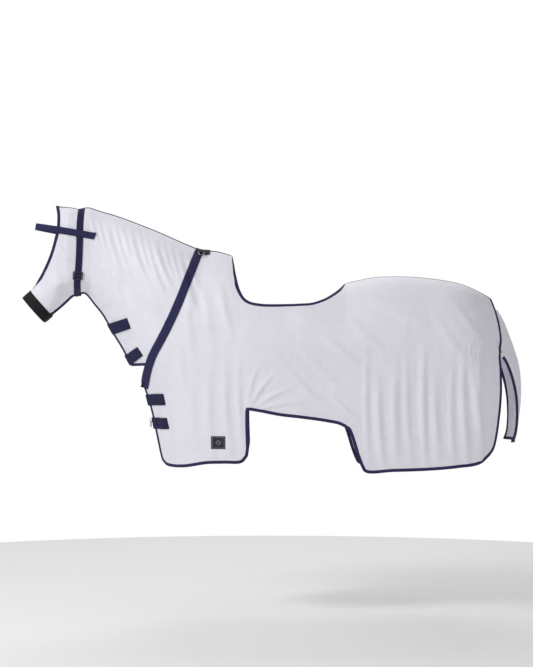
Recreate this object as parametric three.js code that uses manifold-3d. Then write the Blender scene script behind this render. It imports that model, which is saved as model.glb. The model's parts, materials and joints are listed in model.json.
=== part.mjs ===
// Fly sheet for riding: body sheet with a saddle opening, neck and head part, and tail flap.
// It is modelled as it hangs on a standing horse. Millimetres, +Z up, +X to the tail, -Y the near (left) side.
// The origin is the top of the horse's withers, under the sheet.
import * as THREE from 'three';
import { mergeVertices } from 'three/addons/utils/BufferGeometryUtils.js';
import Module from 'manifold-3d';

const wasm = await Module();
wasm.setup();

// ---- driving dimensions -------------------------------------------------------------------------
const CLOTH = 2.0; // thickness of a cloth panel
const BINDING_WIDTH = 12; // how far a binding's leaf reaches in from the edge
const BINDING_WALL = 1.0; // thickness of one leaf of a binding
const LAY = 0.7; // clearance between two layers of cloth or webbing
const SEAM_GAP = 0.6; // gap between two panels at a butt seam
const CENTRE_GAP = 0.4; // half the gap between the near and off panels along the topline
const TAPE = 1.4; // thickness of topline tape and webbing
const CUT_GAP = 0.35; // clearance left where one piece is cut back for another
const TOPLINE_TAPE_WIDTH = 25;
const NECKLINE_BAND_WIDTH = 38;
const THROAT_STRAP_WIDTH = 30;
const BROW_STRAP_WIDTH = 30;
const TAB_WIDTH = 50;
const TOUCH_TAPE = 0.8; // thickness of hook tape and loop tape
const HOOK_PROUD = 3; // how far the hook tape shows past a tab's end
const NOSE_BAND_WIDTH = 50;
const NOSE_BAND_THICKNESS = 1.6;
const NOSE_HALF_HEIGHT = 75; // nose band, half its size from the face to the jaw
const NOSE_HALF_WIDTH = 64; // nose band, half its size across the nose
const FRONT_EDGE_Y = 15; // half the distance between the near and off front edges
const BARREL_HALF_WIDTH = 300;
const FLAP_LIFT_LEVEL = -449; // height of the bar tacks where the tail flap comes free
const SEAM_X = 345; // body seam under the saddle
const LABEL_WIDTH = 62;
const LABEL_HEIGHT = 56;
const RING_RADIUS = 13;
const RING_WIRE = 1.9; // radius of the ring's wire
const SLIDER_WIDTH = 44;
const SLIDER_HEIGHT = 36;
const SLIDER_THICKNESS = 4;
const SLIDER_BAR = 5;
const SLIDER_Z = -110; // height of the slider on the throat strap
const EDGE_CLEAR = 1; // gap from a band's edge to the tape or binding beside it

// ---- layers, as heights above the middle of the cloth ---------------------------------------------
const FACE = CLOTH / 2;
const LAYER_1 = [FACE + LAY, FACE + LAY + TAPE]; // tapes, bands and patches on the cloth
const BINDING_TOP = FACE + LAY + BINDING_WALL;
const LAYER_2 = [LAYER_1[1] + LAY, LAYER_1[1] + LAY + TAPE]; // webbing over a band or a binding
const LOOP_TAPE = [FACE + LAY, FACE + LAY + TOUCH_TAPE];
const TOUCH_GAP = 0.3; // between hook tape, loop tape and the webbing over them
const HOOK_TAPE = [LOOP_TAPE[1] + TOUCH_GAP, LOOP_TAPE[1] + TOUCH_GAP + TOUCH_TAPE];
const TAB_LAYER = [HOOK_TAPE[1] + TOUCH_GAP, HOOK_TAPE[1] + TOUCH_GAP + TAPE];

// ---- outlines in the side view, as [x, z] ----------------------------------------------------------
const CREST = [[-544, 193], [-517, 198], [-463, 182], [-373, 155], [-283, 121], [-193, 85], [-103, 45], [-27, 13]];
const POLL_TOP = [[-660, 206], [-643, 202], [-598, 198], [-558, 191], [-544, 193]];
const BACK = [[-27, 13], [0, 5], [54, 2], [99, -9], [131, -20], [220, -62], [340, -112], [470, -136], [639, -144]];
const RUMP = [[639, -144], [698, -131], [770, -117], [860, -113], [1022, -122], [1166, -149], [1238, -180],
  [1296, -212]];
const TAIL_LINE = [[1296, -212], [1350, -306], [1382, -387], [1418, -495], [1427, -599], [1422, -689],
  [1409, -779], [1400, -900]];
const JAW = [[-700, -306], [-680, -289], [-640, -250], [-608, -221], [-586, -201], [-563, -190]];
const UNDER_NECK = [[-563, -190], [-531, -188], [-486, -239], [-450, -284], [-405, -365], [-364, -432],
  [-310, -531], [-262, -612]];
const CHEST = [[-262, -612], [-247, -655], [-229, -720], [-207, -824], [-190, -905], [-182, -935]];
const FACE_FRONT = [[-660, 206], [-720, 160], [-751, 119], [-775, 50], [-795, -60], [-792, -187], [-800, -230]];
const FACE_OPENING = [[-660, 206], [-648, 165], [-646, 100], [-654, 64], [-676, -12], [-712, -92], [-739, -130],
  [-768, -172]];
const NECKLINE = [[-14, 8], [-25, -24], [-54, -108], [-96, -222], [-135, -310], [-178, -394], [-222, -474],
  [-246, -542], [-262, -612]];
const THROAT = [[-544, 193], [-546, 120], [-547, 20], [-552, -80], [-558, -140], [-563, -190]];
const OPENING_FRONT = [[131, -20], [136, -48], [146, -105], [166, -175], [200, -222], [260, -238], [SEAM_X, -240]];
const OPENING_REAR = [[SEAM_X, -240], [420, -238], [486, -233], [540, -215], [585, -190], [618, -165], [639, -144]];
const NOTCH_LEVEL_FRONT = [[-231, -712], [0, -706], [120, -702], [205, -700]];
const NOTCH_TOP_FRONT = [[205, -700], [260, -709], [SEAM_X, -725]];
const NOTCH_TOP_REAR = [[SEAM_X, -725], [432, -735], [540, -750], [606, -764], [644, -786]];
const NOTCH_LEVEL_REAR = [[644, -786], [860, -794], [1100, -792], [1306, -790]];
const SHOULDER_HEM = [[-182, -935], [-160, -956], [-87, -958], [18, -938], [100, -934], [178, -930], [203, -902]];
const QUARTER_HEM = [[696, -940], [716, -970], [843, -968], [1000, -963], [1120, -953], [1217, -938], [1262, -905]];
const NOTCH_FRONT_EDGE = [[205, -700], [205, -766], [208, -830], [212, -870], [203, -902]];
const QUARTER_FRONT_EDGE = [[644, -786], [660, -830], [680, -896], [696, -940]];
const REAR_EDGE = [[1296, -212], [1310, -260], [1322, -330], [1326, -396], [1317, -449], [1321, -537], [1322, -616],
  [1316, -710], [1306, -790]];
const REAR_EDGE_LOW = [[1306, -790], [1298, -834], [1284, -876], [1262, -905]];

// Half-widths of the horse under the sheet, and how fast its top rounds over, by x.
const HALF_WIDTH = [[-800, 60], [-742, 70], [-700, 84], [-650, 96], [-600, 98], [-545, 88], [-500, 84], [-450, 88],
  [-400, 98], [-350, 115], [-300, 135], [-250, 156], [-200, 178], [-100, 212], [0, 240], [100, 262], [200, 282],
  [330, BARREL_HALF_WIDTH - 3], [450, BARREL_HALF_WIDTH], [700, BARREL_HALF_WIDTH], [900, BARREL_HALF_WIDTH - 10],
  [1100, BARREL_HALF_WIDTH - 25], [1200, BARREL_HALF_WIDTH - 38], [1300, BARREL_HALF_WIDTH - 58],
  [1430, BARREL_HALF_WIDTH - 70]];
const TOP_ROUND = [[-800, 110], [-650, 120], [-550, 130], [-450, 170], [-300, 240], [-150, 300], [0, 340],
  [200, 350], [700, 320], [1000, 300], [1200, 260], [1430, 240]];
const TOP_POWER = [[-700, 2], [-400, 1.8], [-200, 1.6], [0, 1.45], [200, 1.7], [450, 2], [1430, 2]];
const UNDER_ROUND = [[-800, 90], [-620, 85], [-550, 62], [-500, 80], [-400, 110], [-260, 170], [-200, 200], [1430, 200]];
const FACE_ROUND = 90;
const REAR_ROUND = 250;

// ---- small helpers -----------------------------------------------------------------------------------
const vec = (x, y, z) => new THREE.Vector3(x, y, z);
const lerp2 = (a, b, t) => [a[0] + (b[0] - a[0]) * t, a[1] + (b[1] - a[1]) * t];
const clamp01 = (t) => Math.min(1, Math.max(0, t));
const spread = (n) => Array.from({ length: n + 1 }, (_, k) => k / n);

// A value read from a table of [x, value] pairs, straight between them.
function table(pairs, x) {
  if (x <= pairs[0][0]) return pairs[0][1];
  for (let k = 1; k < pairs.length; k += 1) {
    const [x0, v0] = pairs[k - 1];
    const [x1, v1] = pairs[k];
    if (x <= x1) return v0 + (v1 - v0) * (x - x0) / (x1 - x0);
  }
  return pairs[pairs.length - 1][1];
}

// A smooth line through side-view points; t runs from 0 to 1 by length.
function smooth(points) {
  const curve = new THREE.CatmullRomCurve3(points.map(([x, z]) => vec(x, 0, z)), false, 'centripetal');
  curve.arcLengthDivisions = 400;
  return (t) => {
    const p = curve.getPointAt(clamp01(t));
    return [p.x, p.z];
  };
}

// The distance in the side view from a point to a line of points.
function distanceTo(points, x, z) {
  let best = Infinity;
  for (let k = 1; k < points.length; k += 1) {
    const [ax, az] = points[k - 1];
    const [bx, bz] = points[k];
    const t = clamp01(((x - ax) * (bx - ax) + (z - az) * (bz - az)) / ((bx - ax) ** 2 + (bz - az) ** 2));
    best = Math.min(best, Math.hypot(x - ax - t * (bx - ax), z - az - t * (bz - az)));
  }
  return best;
}

// A quarter of a rounded section: 0 at the edge, 1 from one radius inwards.
const rounded = (q, power = 2) => (1 - (1 - clamp01(q)) ** power) ** (1 / power);

// A quarter of a softer section, which leaves the edge less steeply.
const eased = (q) => Math.sin(clamp01(q) * Math.PI / 2);

// ---- the surface of the horse under the sheet ------------------------------------------------------
const SAMPLES = 60;
const pollTop = smooth(POLL_TOP);
const crestTop = smooth([...CREST, NECKLINE[0]]);
const witherTop = smooth([NECKLINE[0], ...BACK.slice(1, 5)]);
const rumpTop = smooth(RUMP);
const saddleTop = smooth(BACK.slice(4));
const TOPLINE = [pollTop, crestTop, witherTop, saddleTop, rumpTop].flatMap(
  (curve) => spread(SAMPLES).slice(1).map((t) => curve(t)),
);
const UNDER_LINE = [...JAW, ...UNDER_NECK.slice(1), ...CHEST.slice(1), [-170, -1100]];
const NOSE_TOP = [-724, -229]; // middle of the nose band's upper edge
const HEAD_AXIS = [-0.75, -0.661]; // from the poll to the nose
const NOSE_ACROSS = [0.661, -0.75]; // from the face to the jaw
const NOSE_BLEND = 120; // length over which the cheek narrows into the nose band
const CHEEK_UNDER_BAND = CLOTH / 2 + LAY + NOSE_BAND_THICKNESS / 2;

// The nose band's half-width at a place between the face and the jaw.
function noseHalfWidth(s) {
  const q = Math.min(1, Math.abs(s) / NOSE_HALF_HEIGHT);
  return NOSE_HALF_WIDTH * (1 - q ** 2.4) ** (1 / 2.4);
}

// The sheet's half-width at a place in the side view.
function halfWidth(x, z) {
  const top = rounded((table(TOPLINE, x) - z) / table(TOP_ROUND, x), table(TOP_POWER, x));
  const rear = x > 1000 ? rounded(distanceTo(TAIL_LINE, x, z) / REAR_ROUND) : 1;
  const under = x < 100 ? eased(distanceTo(UNDER_LINE, x, z) / table(UNDER_ROUND, x)) : 1;
  const face = x < -500 ? rounded(distanceTo(FACE_FRONT, x, z) / FACE_ROUND) : 1;
  const wide = table(HALF_WIDTH, x);
  const width = top * rear * face * (FRONT_EDGE_Y + (wide - FRONT_EDGE_Y) * under);
  const along = (x - NOSE_TOP[0]) * HEAD_AXIS[0] + (z - NOSE_TOP[1]) * HEAD_AXIS[1];
  if (x > -540 || along < -NOSE_BLEND) return width;
  const across = (x - NOSE_TOP[0]) * NOSE_ACROSS[0] + (z - NOSE_TOP[1]) * NOSE_ACROSS[1];
  const k = clamp01(1 + along / NOSE_BLEND);
  const blend = k * k * (3 - 2 * k);
  return width + (noseHalfWidth(across) - CHEEK_UNDER_BAND - width) * blend;
}

// ---- cloth: a grid of side-view points laid on that surface -----------------------------------------
// A four-sided patch between four lines; us and vs say where its columns and rows lie.
function coons({ top, bottom, left, right, us, vs }) {
  const corner = [top(0), top(1), bottom(0), bottom(1)];
  return vs.map((v) => us.map((u) => [0, 1].map((axis) => {
    const across = (1 - v) * top(u)[axis] + v * bottom(u)[axis];
    const down = (1 - u) * left(v)[axis] + u * right(v)[axis];
    const plain = (1 - v) * ((1 - u) * corner[0][axis] + u * corner[1][axis])
      + v * ((1 - u) * corner[2][axis] + u * corner[3][axis]);
    return across + down - plain;
  })));
}

// Which cells of a grid are there: those whose four corners are.
function cellThere(grid, i, j) {
  if (i < 0 || j < 0 || j + 1 >= grid.length || i + 1 >= grid[0].length) return false;
  return Boolean(grid[j][i] && grid[j][i + 1] && grid[j + 1][i] && grid[j + 1][i + 1]);
}

// The places along a run of straight grid steps between corners, each with the step to its inner partner.
// The cloth lies to the left of a run that goes down the grid. skip marks the two places beside an outer
// corner, which share the corner's partner.
function walk(corners) {
  const path = [];
  const legs = corners.slice(1).map(([i, j], k) => {
    const [i0, j0] = corners[k];
    const count = Math.max(Math.abs(i - i0), Math.abs(j - j0));
    return { start: [i0, j0], step: [Math.sign(i - i0), Math.sign(j - j0)], count };
  });
  legs.forEach(({ start, step, count }, k) => {
    const before = legs[k - 1];
    for (let m = 0; m <= count; m += 1) {
      const inner = [step[1], -step[0]];
      const atCorner = m === 0 && before;
      if (m === count && k < legs.length - 1) break;
      if (atCorner) {
        inner[0] += before.step[1];
        inner[1] -= before.step[0];
      }
      const outer = (leg, next) => leg && next && leg.step[0] * next.step[1] - leg.step[1] * next.step[0] < 0;
      const skip = (m === 1 && outer(before, legs[k])) || (m === count - 1 && outer(legs[k], legs[k + 1]));
      path.push({ i: start[0] + step[0] * m, j: start[1] + step[1] * m, di: inner[0], dj: inner[1], skip });
    }
  });
  return path;
}

// Sets the inner partners of a run at an exact distance from the edge, measured over the cloth;
// the run's two ends stay. grid.between lists the places that lie halfway between two others.
function squareRim(grid, corners, width) {
  const path = walk(corners);
  const plain = path.filter((place) => !place.skip);
  const moved = plain.slice(1, -1).map((place, k) => {
    const [a, p, b] = [plain[k], place, plain[k + 2]].map(({ i, j }) => grid[j][i]);
    const unit = (from, to) => {
      const length = Math.hypot(to[0] - from[0], to[1] - from[1]) || 1;
      return [(to[0] - from[0]) / length, (to[1] - from[1]) / length];
    };
    const u = unit(a, p);
    const v = unit(p, b);
    const n = [-u[1] - v[1], u[0] + v[0]];
    const scale = 2 / (n[0] ** 2 + n[1] ** 2);
    const inwards = (reach) => [p[0] + n[0] * scale * reach, p[1] + n[1] * scale * reach];
    let reach = width;
    for (let pass = 0; pass < 4; pass += 1) {
      reach *= width / Math.hypot(reach, halfWidth(...inwards(reach)) - halfWidth(...p));
    }
    return [place, inwards(reach)];
  });
  for (const [{ i, j, di, dj }, at] of moved) grid[j + dj][i + di] = at;
  path.forEach(({ i, j, skip }, k) => {
    if (!skip) return;
    const [a, b] = [path[k - 1], path[k + 1]];
    grid[j][i] = lerp2(grid[a.j][a.i], grid[b.j][b.i], 0.5);
    grid.between = [...(grid.between ?? []), [{ i, j }, a, b]];
  });
}

// Lays a grid of side-view points on one side of the horse: points p and unit normals n. The columns from
// first to final have their top on the topline.
function layCloth(grid, side, [first, final]) {
  const p = grid.map((row, j) => row.map((at, i) => {
    if (!at) return null;
    const onTopline = j === 0 && i >= first && i <= final;
    return vec(at[0], side * (onTopline ? CENTRE_GAP : Math.max(CENTRE_GAP, halfWidth(at[0], at[1]))), at[1]);
  }));
  for (const [at, a, b] of grid.between ?? []) p[at.j][at.i].lerpVectors(p[a.j][a.i], p[b.j][b.i], 0.5);
  return withNormals(p, () => vec(0, side, 0));
}

// Adds unit normals to a grid of points; outward says roughly which way is out at a point.
function withNormals(p, outward) {
  const n = p.map((row) => row.map(() => vec(0, 0, 0)));
  let facing = 0;
  for (let j = 0; j + 1 < p.length; j += 1) {
    for (let i = 0; i + 1 < p[0].length; i += 1) {
      if (!cellThere(p, i, j)) continue;
      const across = p[j + 1][i + 1].clone().sub(p[j][i]);
      const down = p[j + 1][i].clone().sub(p[j][i + 1]);
      const normal = across.cross(down);
      facing += normal.dot(outward(p[j][i]));
      for (const [a, b] of [[i, j], [i + 1, j], [i, j + 1], [i + 1, j + 1]]) n[b][a].add(normal);
    }
  }
  for (let j = 0; j < p.length; j += 1) {
    for (let i = 0; i < p[0].length; i += 1) {
      if (!p[j][i]) continue;
      if (Math.abs(p[j][i].y) <= CENTRE_GAP * 1.01) n[j][i].y = 0;
      n[j][i].multiplyScalar(Math.sign(facing) || 1).normalize();
    }
  }
  return { p, n };
}

// The place on a laid cloth at a side-view point: p and n, straight across each triangle.
function onCloth(cloth, x, z) {
  let best = null;
  let bestInside = -Infinity;
  for (let j = 0; j + 1 < cloth.p.length; j += 1) {
    for (let i = 0; i + 1 < cloth.p[0].length; i += 1) {
      if (!cellThere(cloth.p, i, j)) continue;
      for (const ids of [[[i, j], [i + 1, j], [i + 1, j + 1]], [[i, j], [i + 1, j + 1], [i, j + 1]]]) {
        const [a, b, c] = ids.map(([u, v]) => cloth.p[v][u]);
        const area = (b.x - a.x) * (c.z - a.z) - (c.x - a.x) * (b.z - a.z);
        if (Math.abs(area) < 1e-6) continue;
        const wb = ((x - a.x) * (c.z - a.z) - (c.x - a.x) * (z - a.z)) / area;
        const wc = ((b.x - a.x) * (z - a.z) - (x - a.x) * (b.z - a.z)) / area;
        const inside = Math.min(wb, wc, 1 - wb - wc);
        if (inside > bestInside) {
          bestInside = inside;
          best = { ids, weights: [1 - wb - wc, wb, wc] };
        }
      }
    }
  }
  const blend = (from) => best.ids.reduce(
    (sum, [u, v], k) => sum.addScaledVector(from[v][u], best.weights[k]),
    vec(0, 0, 0),
  );
  return { p: blend(cloth.p), n: blend(cloth.n) };
}

// ---- solids --------------------------------------------------------------------------------------------
function solid(vertices, triangles) {
  let volume = 0;
  for (const [a, b, c] of triangles) volume += vertices[a].dot(vertices[b].clone().cross(vertices[c]));
  const order = volume < 0 ? triangles.map(([a, b, c]) => [a, c, b]) : triangles;
  const geometry = new THREE.BufferGeometry();
  geometry.setAttribute('position', new THREE.Float32BufferAttribute(vertices.flatMap((v) => [v.x, v.y, v.z]), 3));
  geometry.setIndex(order.flat());
  return geometry;
}

function toManifold(geometry) {
  const bare = geometry.clone();
  for (const name of Object.keys(bare.attributes)) {
    if (name !== 'position') bare.deleteAttribute(name);
  }
  const merged = mergeVertices(bare);
  return new wasm.Manifold(new wasm.Mesh({
    numProp: 3,
    vertProperties: new Float32Array(merged.attributes.position.array),
    triVerts: new Uint32Array(merged.index.array),
  }));
}

// A piece cut back to clear its neighbours; slivers that come loose are left out.
function clearOf(geometry, cutters) {
  let piece = toManifold(geometry);
  for (const cutter of cutters) piece = piece.subtract(toManifold(cutter));
  const bodies = piece.decompose().sort((a, b) => b.volume() - a.volume());
  const mesh = bodies[0].getMesh();
  const cut = new THREE.BufferGeometry();
  cut.setAttribute('position', new THREE.Float32BufferAttribute(mesh.vertProperties, 3));
  cut.setIndex([...mesh.triVerts]);
  return cut;
}

// A slab between two heights over a grid of points and normals. close joins the last row to the first;
// flip says which cells are split along their other diagonal.
function slab({ p, n }, [low, high], { close = false, flip = () => false } = {}) {
  const rows = p.length;
  const cols = p[0].length;
  const vertices = [];
  const index = p.map((row, j) => row.map((at, i) => {
    if (!at) return -1;
    vertices.push(at.clone().addScaledVector(n[j][i], low), at.clone().addScaledVector(n[j][i], high));
    return vertices.length - 2;
  }));
  const triangles = [];
  const edges = new Map();
  const edge = (a, b) => {
    const back = `${b},${a}`;
    if (edges.has(back)) edges.delete(back);
    else edges.set(`${a},${b}`, [a, b]);
  };
  for (let j = 0; j < (close ? rows : rows - 1); j += 1) {
    const k = (j + 1) % rows;
    for (let i = 0; i + 1 < cols; i += 1) {
      const [a, b, c, d] = [index[j][i], index[j][i + 1], index[k][i + 1], index[k][i]];
      if (Math.min(a, b, c, d) < 0) continue;
      const halves = flip(j, i) ? [[a, b, d], [b, c, d]] : [[a, b, c], [a, c, d]];
      for (const [q, r, s] of halves) triangles.push([q, r, s], [q + 1, s + 1, r + 1]);
      edge(a, b);
      edge(b, c);
      edge(c, d);
      edge(d, a);
    }
  }
  for (const [a, b] of edges.values()) triangles.push([b, a, a + 1], [b, a + 1, b + 1]);
  return solid(vertices, triangles);
}

// Whether the cloth's own triangles run from the edge of one sample to the inner place of the next.
function crosses(a, b) {
  return (b.place.i + b.place.di - a.place.i) * (b.place.j + b.place.dj - a.place.j) > 0;
}

// A binding folded over an edge: a U section carried along samples of { edge, inner, ne, ni, place }, split
// along the same diagonals as the cloth.
function binding(samples, close = false) {
  const near = FACE + LAY;
  const far = BINDING_TOP;
  const vertices = [];
  for (const { edge, inner, ne, ni } of samples) {
    const out = edge.clone().sub(inner);
    const unit = out.divideScalar(BINDING_WIDTH);
    const at = (from, normal, height, away) => from.clone().addScaledVector(normal, height)
      .addScaledVector(unit, away);
    vertices.push(
      at(inner, ni, far, 0), at(edge, ne, far, far - FACE), at(edge, ne, -far, far - FACE), at(inner, ni, -far, 0),
      at(inner, ni, -near, 0), at(edge, ne, -near, near - FACE), at(edge, ne, near, near - FACE),
      at(inner, ni, near, 0),
    );
  }
  const triangles = [];
  const count = samples.length;
  for (let k = 0; k < (close ? count : count - 1); k += 1) {
    const a = k * 8;
    const b = ((k + 1) % count) * 8;
    for (let s = 0; s < 8; s += 1) {
      const t = (s + 1) % 8;
      const fromInner = s === 0 || s === 4;
      if (fromInner === crosses(samples[k], samples[(k + 1) % count])) {
        triangles.push([a + s, b + s, a + t], [b + s, b + t, a + t]);
      } else {
        triangles.push([a + s, b + s, b + t], [a + s, b + t, a + t]);
      }
    }
  }
  if (!close) {
    const last = (count - 1) * 8;
    for (const [q, r, s, t] of [[0, 1, 6, 7], [1, 2, 5, 6], [2, 3, 4, 5]]) {
      triangles.push([q, r, s], [q, s, t], [last + q, last + s, last + r], [last + q, last + t, last + s]);
    }
  }
  return solid(vertices, triangles);
}

// The samples of a cloth's edge along a run, for a binding.
function edgeSamples(cloth, corners) {
  return walk(corners).filter((place) => !place.skip).map((place) => {
    const { i, j, di, dj } = place;
    return {
      edge: cloth.p[j][i], inner: cloth.p[j + dj][i + di], ne: cloth.n[j][i], ni: cloth.n[j + dj][i + di], place,
    };
  });
}

// A strip of a given width laid on a cloth along side-view points: a grid of p and n.
function stripOn(cloth, line, width, across = 2) {
  const rows = line.map(([x, z], k) => {
    const [x0, z0] = line[Math.max(0, k - 1)];
    const [x1, z1] = line[Math.min(line.length - 1, k + 1)];
    const length = Math.hypot(x1 - x0, z1 - z0);
    const side = [-(z1 - z0) / length, (x1 - x0) / length];
    const middle = onCloth(cloth, x, z);
    return spread(across).map((t) => {
      const offset = (t - 0.5) * width;
      let reach = offset;
      for (let pass = 0; pass < 3; pass += 1) {
        const there = onCloth(cloth, x + side[0] * reach, z + side[1] * reach);
        const real = there.p.distanceTo(middle.p) || 1;
        reach *= offset === 0 ? 1 : Math.abs(offset) / real;
      }
      return onCloth(cloth, x + side[0] * reach, z + side[1] * reach);
    });
  });
  return { p: rows.map((row) => row.map((at) => at.p)), n: rows.map((row) => row.map((at) => at.n)) };
}

// Points a fixed step apart along a straight side-view line, with both ends.
function steps(from, to, step = 12) {
  const count = Math.max(1, Math.round(Math.hypot(to[0] - from[0], to[1] - from[1]) / step));
  return spread(count).map((t) => lerp2(from, to, t));
}

// ---- the object -----------------------------------------------------------------------------------------
const sheet = new THREE.Group();
const finish = (color, roughness, metalness = 0) => new THREE.MeshStandardMaterial({ color, roughness, metalness });
const WHITE_MESH = () => finish(0xd8d6e2, 0.85);
const NAVY_TAPE = () => finish(0x2c2b55, 0.8);
const NAVY_WEB = () => finish(0x1e1f44, 0.8);
const BLACK_WEB = () => finish(0x101018, 0.85);
const RED_THREAD = () => finish(0xa02030, 0.7);
const STEEL = () => finish(0xb8bac0, 0.3, 1);
const DARK_PLASTIC = () => finish(0x17181d, 0.45);

function add(name, geometry, material) {
  const mesh = new THREE.Mesh(geometry, material);
  mesh.name = name;
  sheet.add(mesh);
  return mesh;
}

const SIDES = [['near', -1], ['off', 1]];

// Joins smooth lines end to end; knots say at which parameter each one hands over to the next.
function joined(curves, knots) {
  const ends = [0, ...knots, 1];
  return (t) => {
    let k = 0;
    while (k < curves.length - 1 && t > ends[k + 1]) k += 1;
    return curves[k]((t - ends[k]) / (ends[k + 1] - ends[k]));
  };
}

// The part of a line between two of its parameters.
const part = (curve, from, to) => (t) => curve(from + (to - from) * t);

// ---- side-view grids of the panels --------------------------------------------------------------------
const NECK_ROWS = [0, 0.035, 0.095, 0.18, 0.3, 0.44, 0.58, 0.7, 0.8, 0.89, 0.965, 1];
const NECK_END = 0.84; // where on the neckline the neck panel ends
const NECKLINE_SHARE = 0.865; // the neckline's share of the front panel's front edge above the notch
const neckline = smooth(NECKLINE);
const chest = smooth(CHEST);
const CHEST_AT_NOTCH = 0.31; // where on the chest edge the notch level lies

// Front body panel: left of the column that ends at the notch corner, right of it, and the shoulder flap.
const FRONT_ROWS = [...NECK_ROWS.map((t) => t * NECK_END * NECKLINE_SHARE), 0.8, NECKLINE_SHARE, 0.885, 0.983, 1];
const FRONT_LOW_ROWS = [0.3, 0.6, 0.95, 1];
const FRONT_COLS_LEFT = [0, 0.06, 0.17, 0.29, 0.41, 0.53, 0.6, 0.74, 0.87, 0.97, 1];
const TOP_CORNER = 6; // column of the front end of the saddle opening
const EVEN_ROW = 6; // row down to which the opening's rim moves the rows
const NECKLINE_FOOT = 13; // row where the neckline meets the chest edge
const FRONT_COLS_RIGHT = [0.33, 0.67, 1];
const NOTCH_COL = FRONT_COLS_LEFT.length - 1;
const NOTCH_ROW = FRONT_ROWS.length - 1;
const openingFront = smooth(OPENING_FRONT);
const NOTCH_COLUMN_TOP = 0.62; // where on the opening's front rim the notch column starts

function frontGrid() {
  const columnTop = openingFront(NOTCH_COLUMN_TOP);
  const notchColumn = smooth([columnTop, lerp2(columnTop, NOTCH_TOP_FRONT[0], 0.5), NOTCH_TOP_FRONT[0]]);
  const left = coons({
    top: joined([witherTop, part(openingFront, 0, NOTCH_COLUMN_TOP)], [FRONT_COLS_LEFT[TOP_CORNER]]),
    bottom: smooth([chest(CHEST_AT_NOTCH), ...NOTCH_LEVEL_FRONT.slice(1)]),
    left: joined([neckline, part(chest, 0, CHEST_AT_NOTCH)], [NECKLINE_SHARE]),
    right: notchColumn,
    us: FRONT_COLS_LEFT,
    vs: FRONT_ROWS,
  });
  const right = coons({
    top: part(openingFront, NOTCH_COLUMN_TOP, 1),
    bottom: smooth(NOTCH_TOP_FRONT),
    left: notchColumn,
    right: smooth([OPENING_FRONT.at(-1), NOTCH_TOP_FRONT.at(-1)]),
    us: FRONT_COLS_RIGHT,
    vs: FRONT_ROWS,
  });
  const low = coons({
    top: smooth([chest(CHEST_AT_NOTCH), ...NOTCH_LEVEL_FRONT.slice(1)]),
    bottom: smooth(SHOULDER_HEM),
    left: part(chest, CHEST_AT_NOTCH, 1),
    right: smooth(NOTCH_FRONT_EDGE),
    us: FRONT_COLS_LEFT,
    vs: FRONT_LOW_ROWS,
  });
  const grid = left.map((row, j) => [...row, ...right[j]]);
  low.forEach((row) => grid.push([...row, ...FRONT_COLS_RIGHT.map(() => null)]));
  const last = grid.length - 1;
  const end = grid[0].length - 1;
  squareRim(grid, [[0, 0], [0, NECKLINE_FOOT]], NECKLINE_BAND_WIDTH / 2 + EDGE_CLEAR);
  squareRim(grid, [[0, NECKLINE_FOOT], [0, last], [NOTCH_COL, last], [NOTCH_COL, NOTCH_ROW], [end, NOTCH_ROW]],
    BINDING_WIDTH);
  squareRim(grid, [[end, 0], [TOP_CORNER, 0]], BINDING_WIDTH);
  grid[0][TOP_CORNER - 1] = stepBack(grid[0][TOP_CORNER], grid[0][TOP_CORNER - 2], BINDING_WIDTH);
  grid[0][1] = stepBack(grid[0][0], grid[0][2], NECKLINE_BAND_WIDTH / 2 + EDGE_CLEAR);
  // Behind the opening's rim the rows open out evenly, so that no cell folds over the next.
  const share = (j) => (FRONT_ROWS[j] - FRONT_ROWS[1]) / (FRONT_ROWS[EVEN_ROW] - FRONT_ROWS[1]);
  for (let i = TOP_CORNER; i <= end; i += 1) {
    for (let j = 2; j < EVEN_ROW; j += 1) grid[j][i] = lerp2(grid[1][i], grid[EVEN_ROW][i], share(j));
  }
  return grid;
}

// Moves whole columns of a grid along the horse, to leave the gap of a seam.
function shifted(grid, moves) {
  for (const row of grid) {
    for (const [i, move] of Object.entries(moves)) {
      if (row[i]) row[i] = [row[i][0] + move, row[i][1]];
    }
  }
  return grid;
}

// The point a given distance from one point towards another.
function stepBack(from, towards, distance) {
  return lerp2(from, towards, distance / Math.hypot(towards[0] - from[0], towards[1] - from[1]));
}

// Rear body panel: left of the column over the quarter's front edge, right of it, and the quarter below.
const REAR_ROWS = [0, 0.014, 0.045, 0.095, 0.165, 0.255, 0.36, 0.48, 0.61, 0.74, 0.87, 0.982, 1];
const REAR_LOW_ROWS = [0.33, 0.66, 0.93, 1];
const REAR_COLS_LEFT = [0, 0.2, 0.4, 0.6, 0.8, 0.93, 1];
const REAR_COLS_RIGHT = [0.018, 0.1, 0.21, 0.33, 0.45, 0.57, 0.69, 0.8, 0.9, 0.982, 1];
const QUARTER_COL = REAR_COLS_LEFT.length - 1;
const QUARTER_ROW = REAR_ROWS.length - 1;

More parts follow.
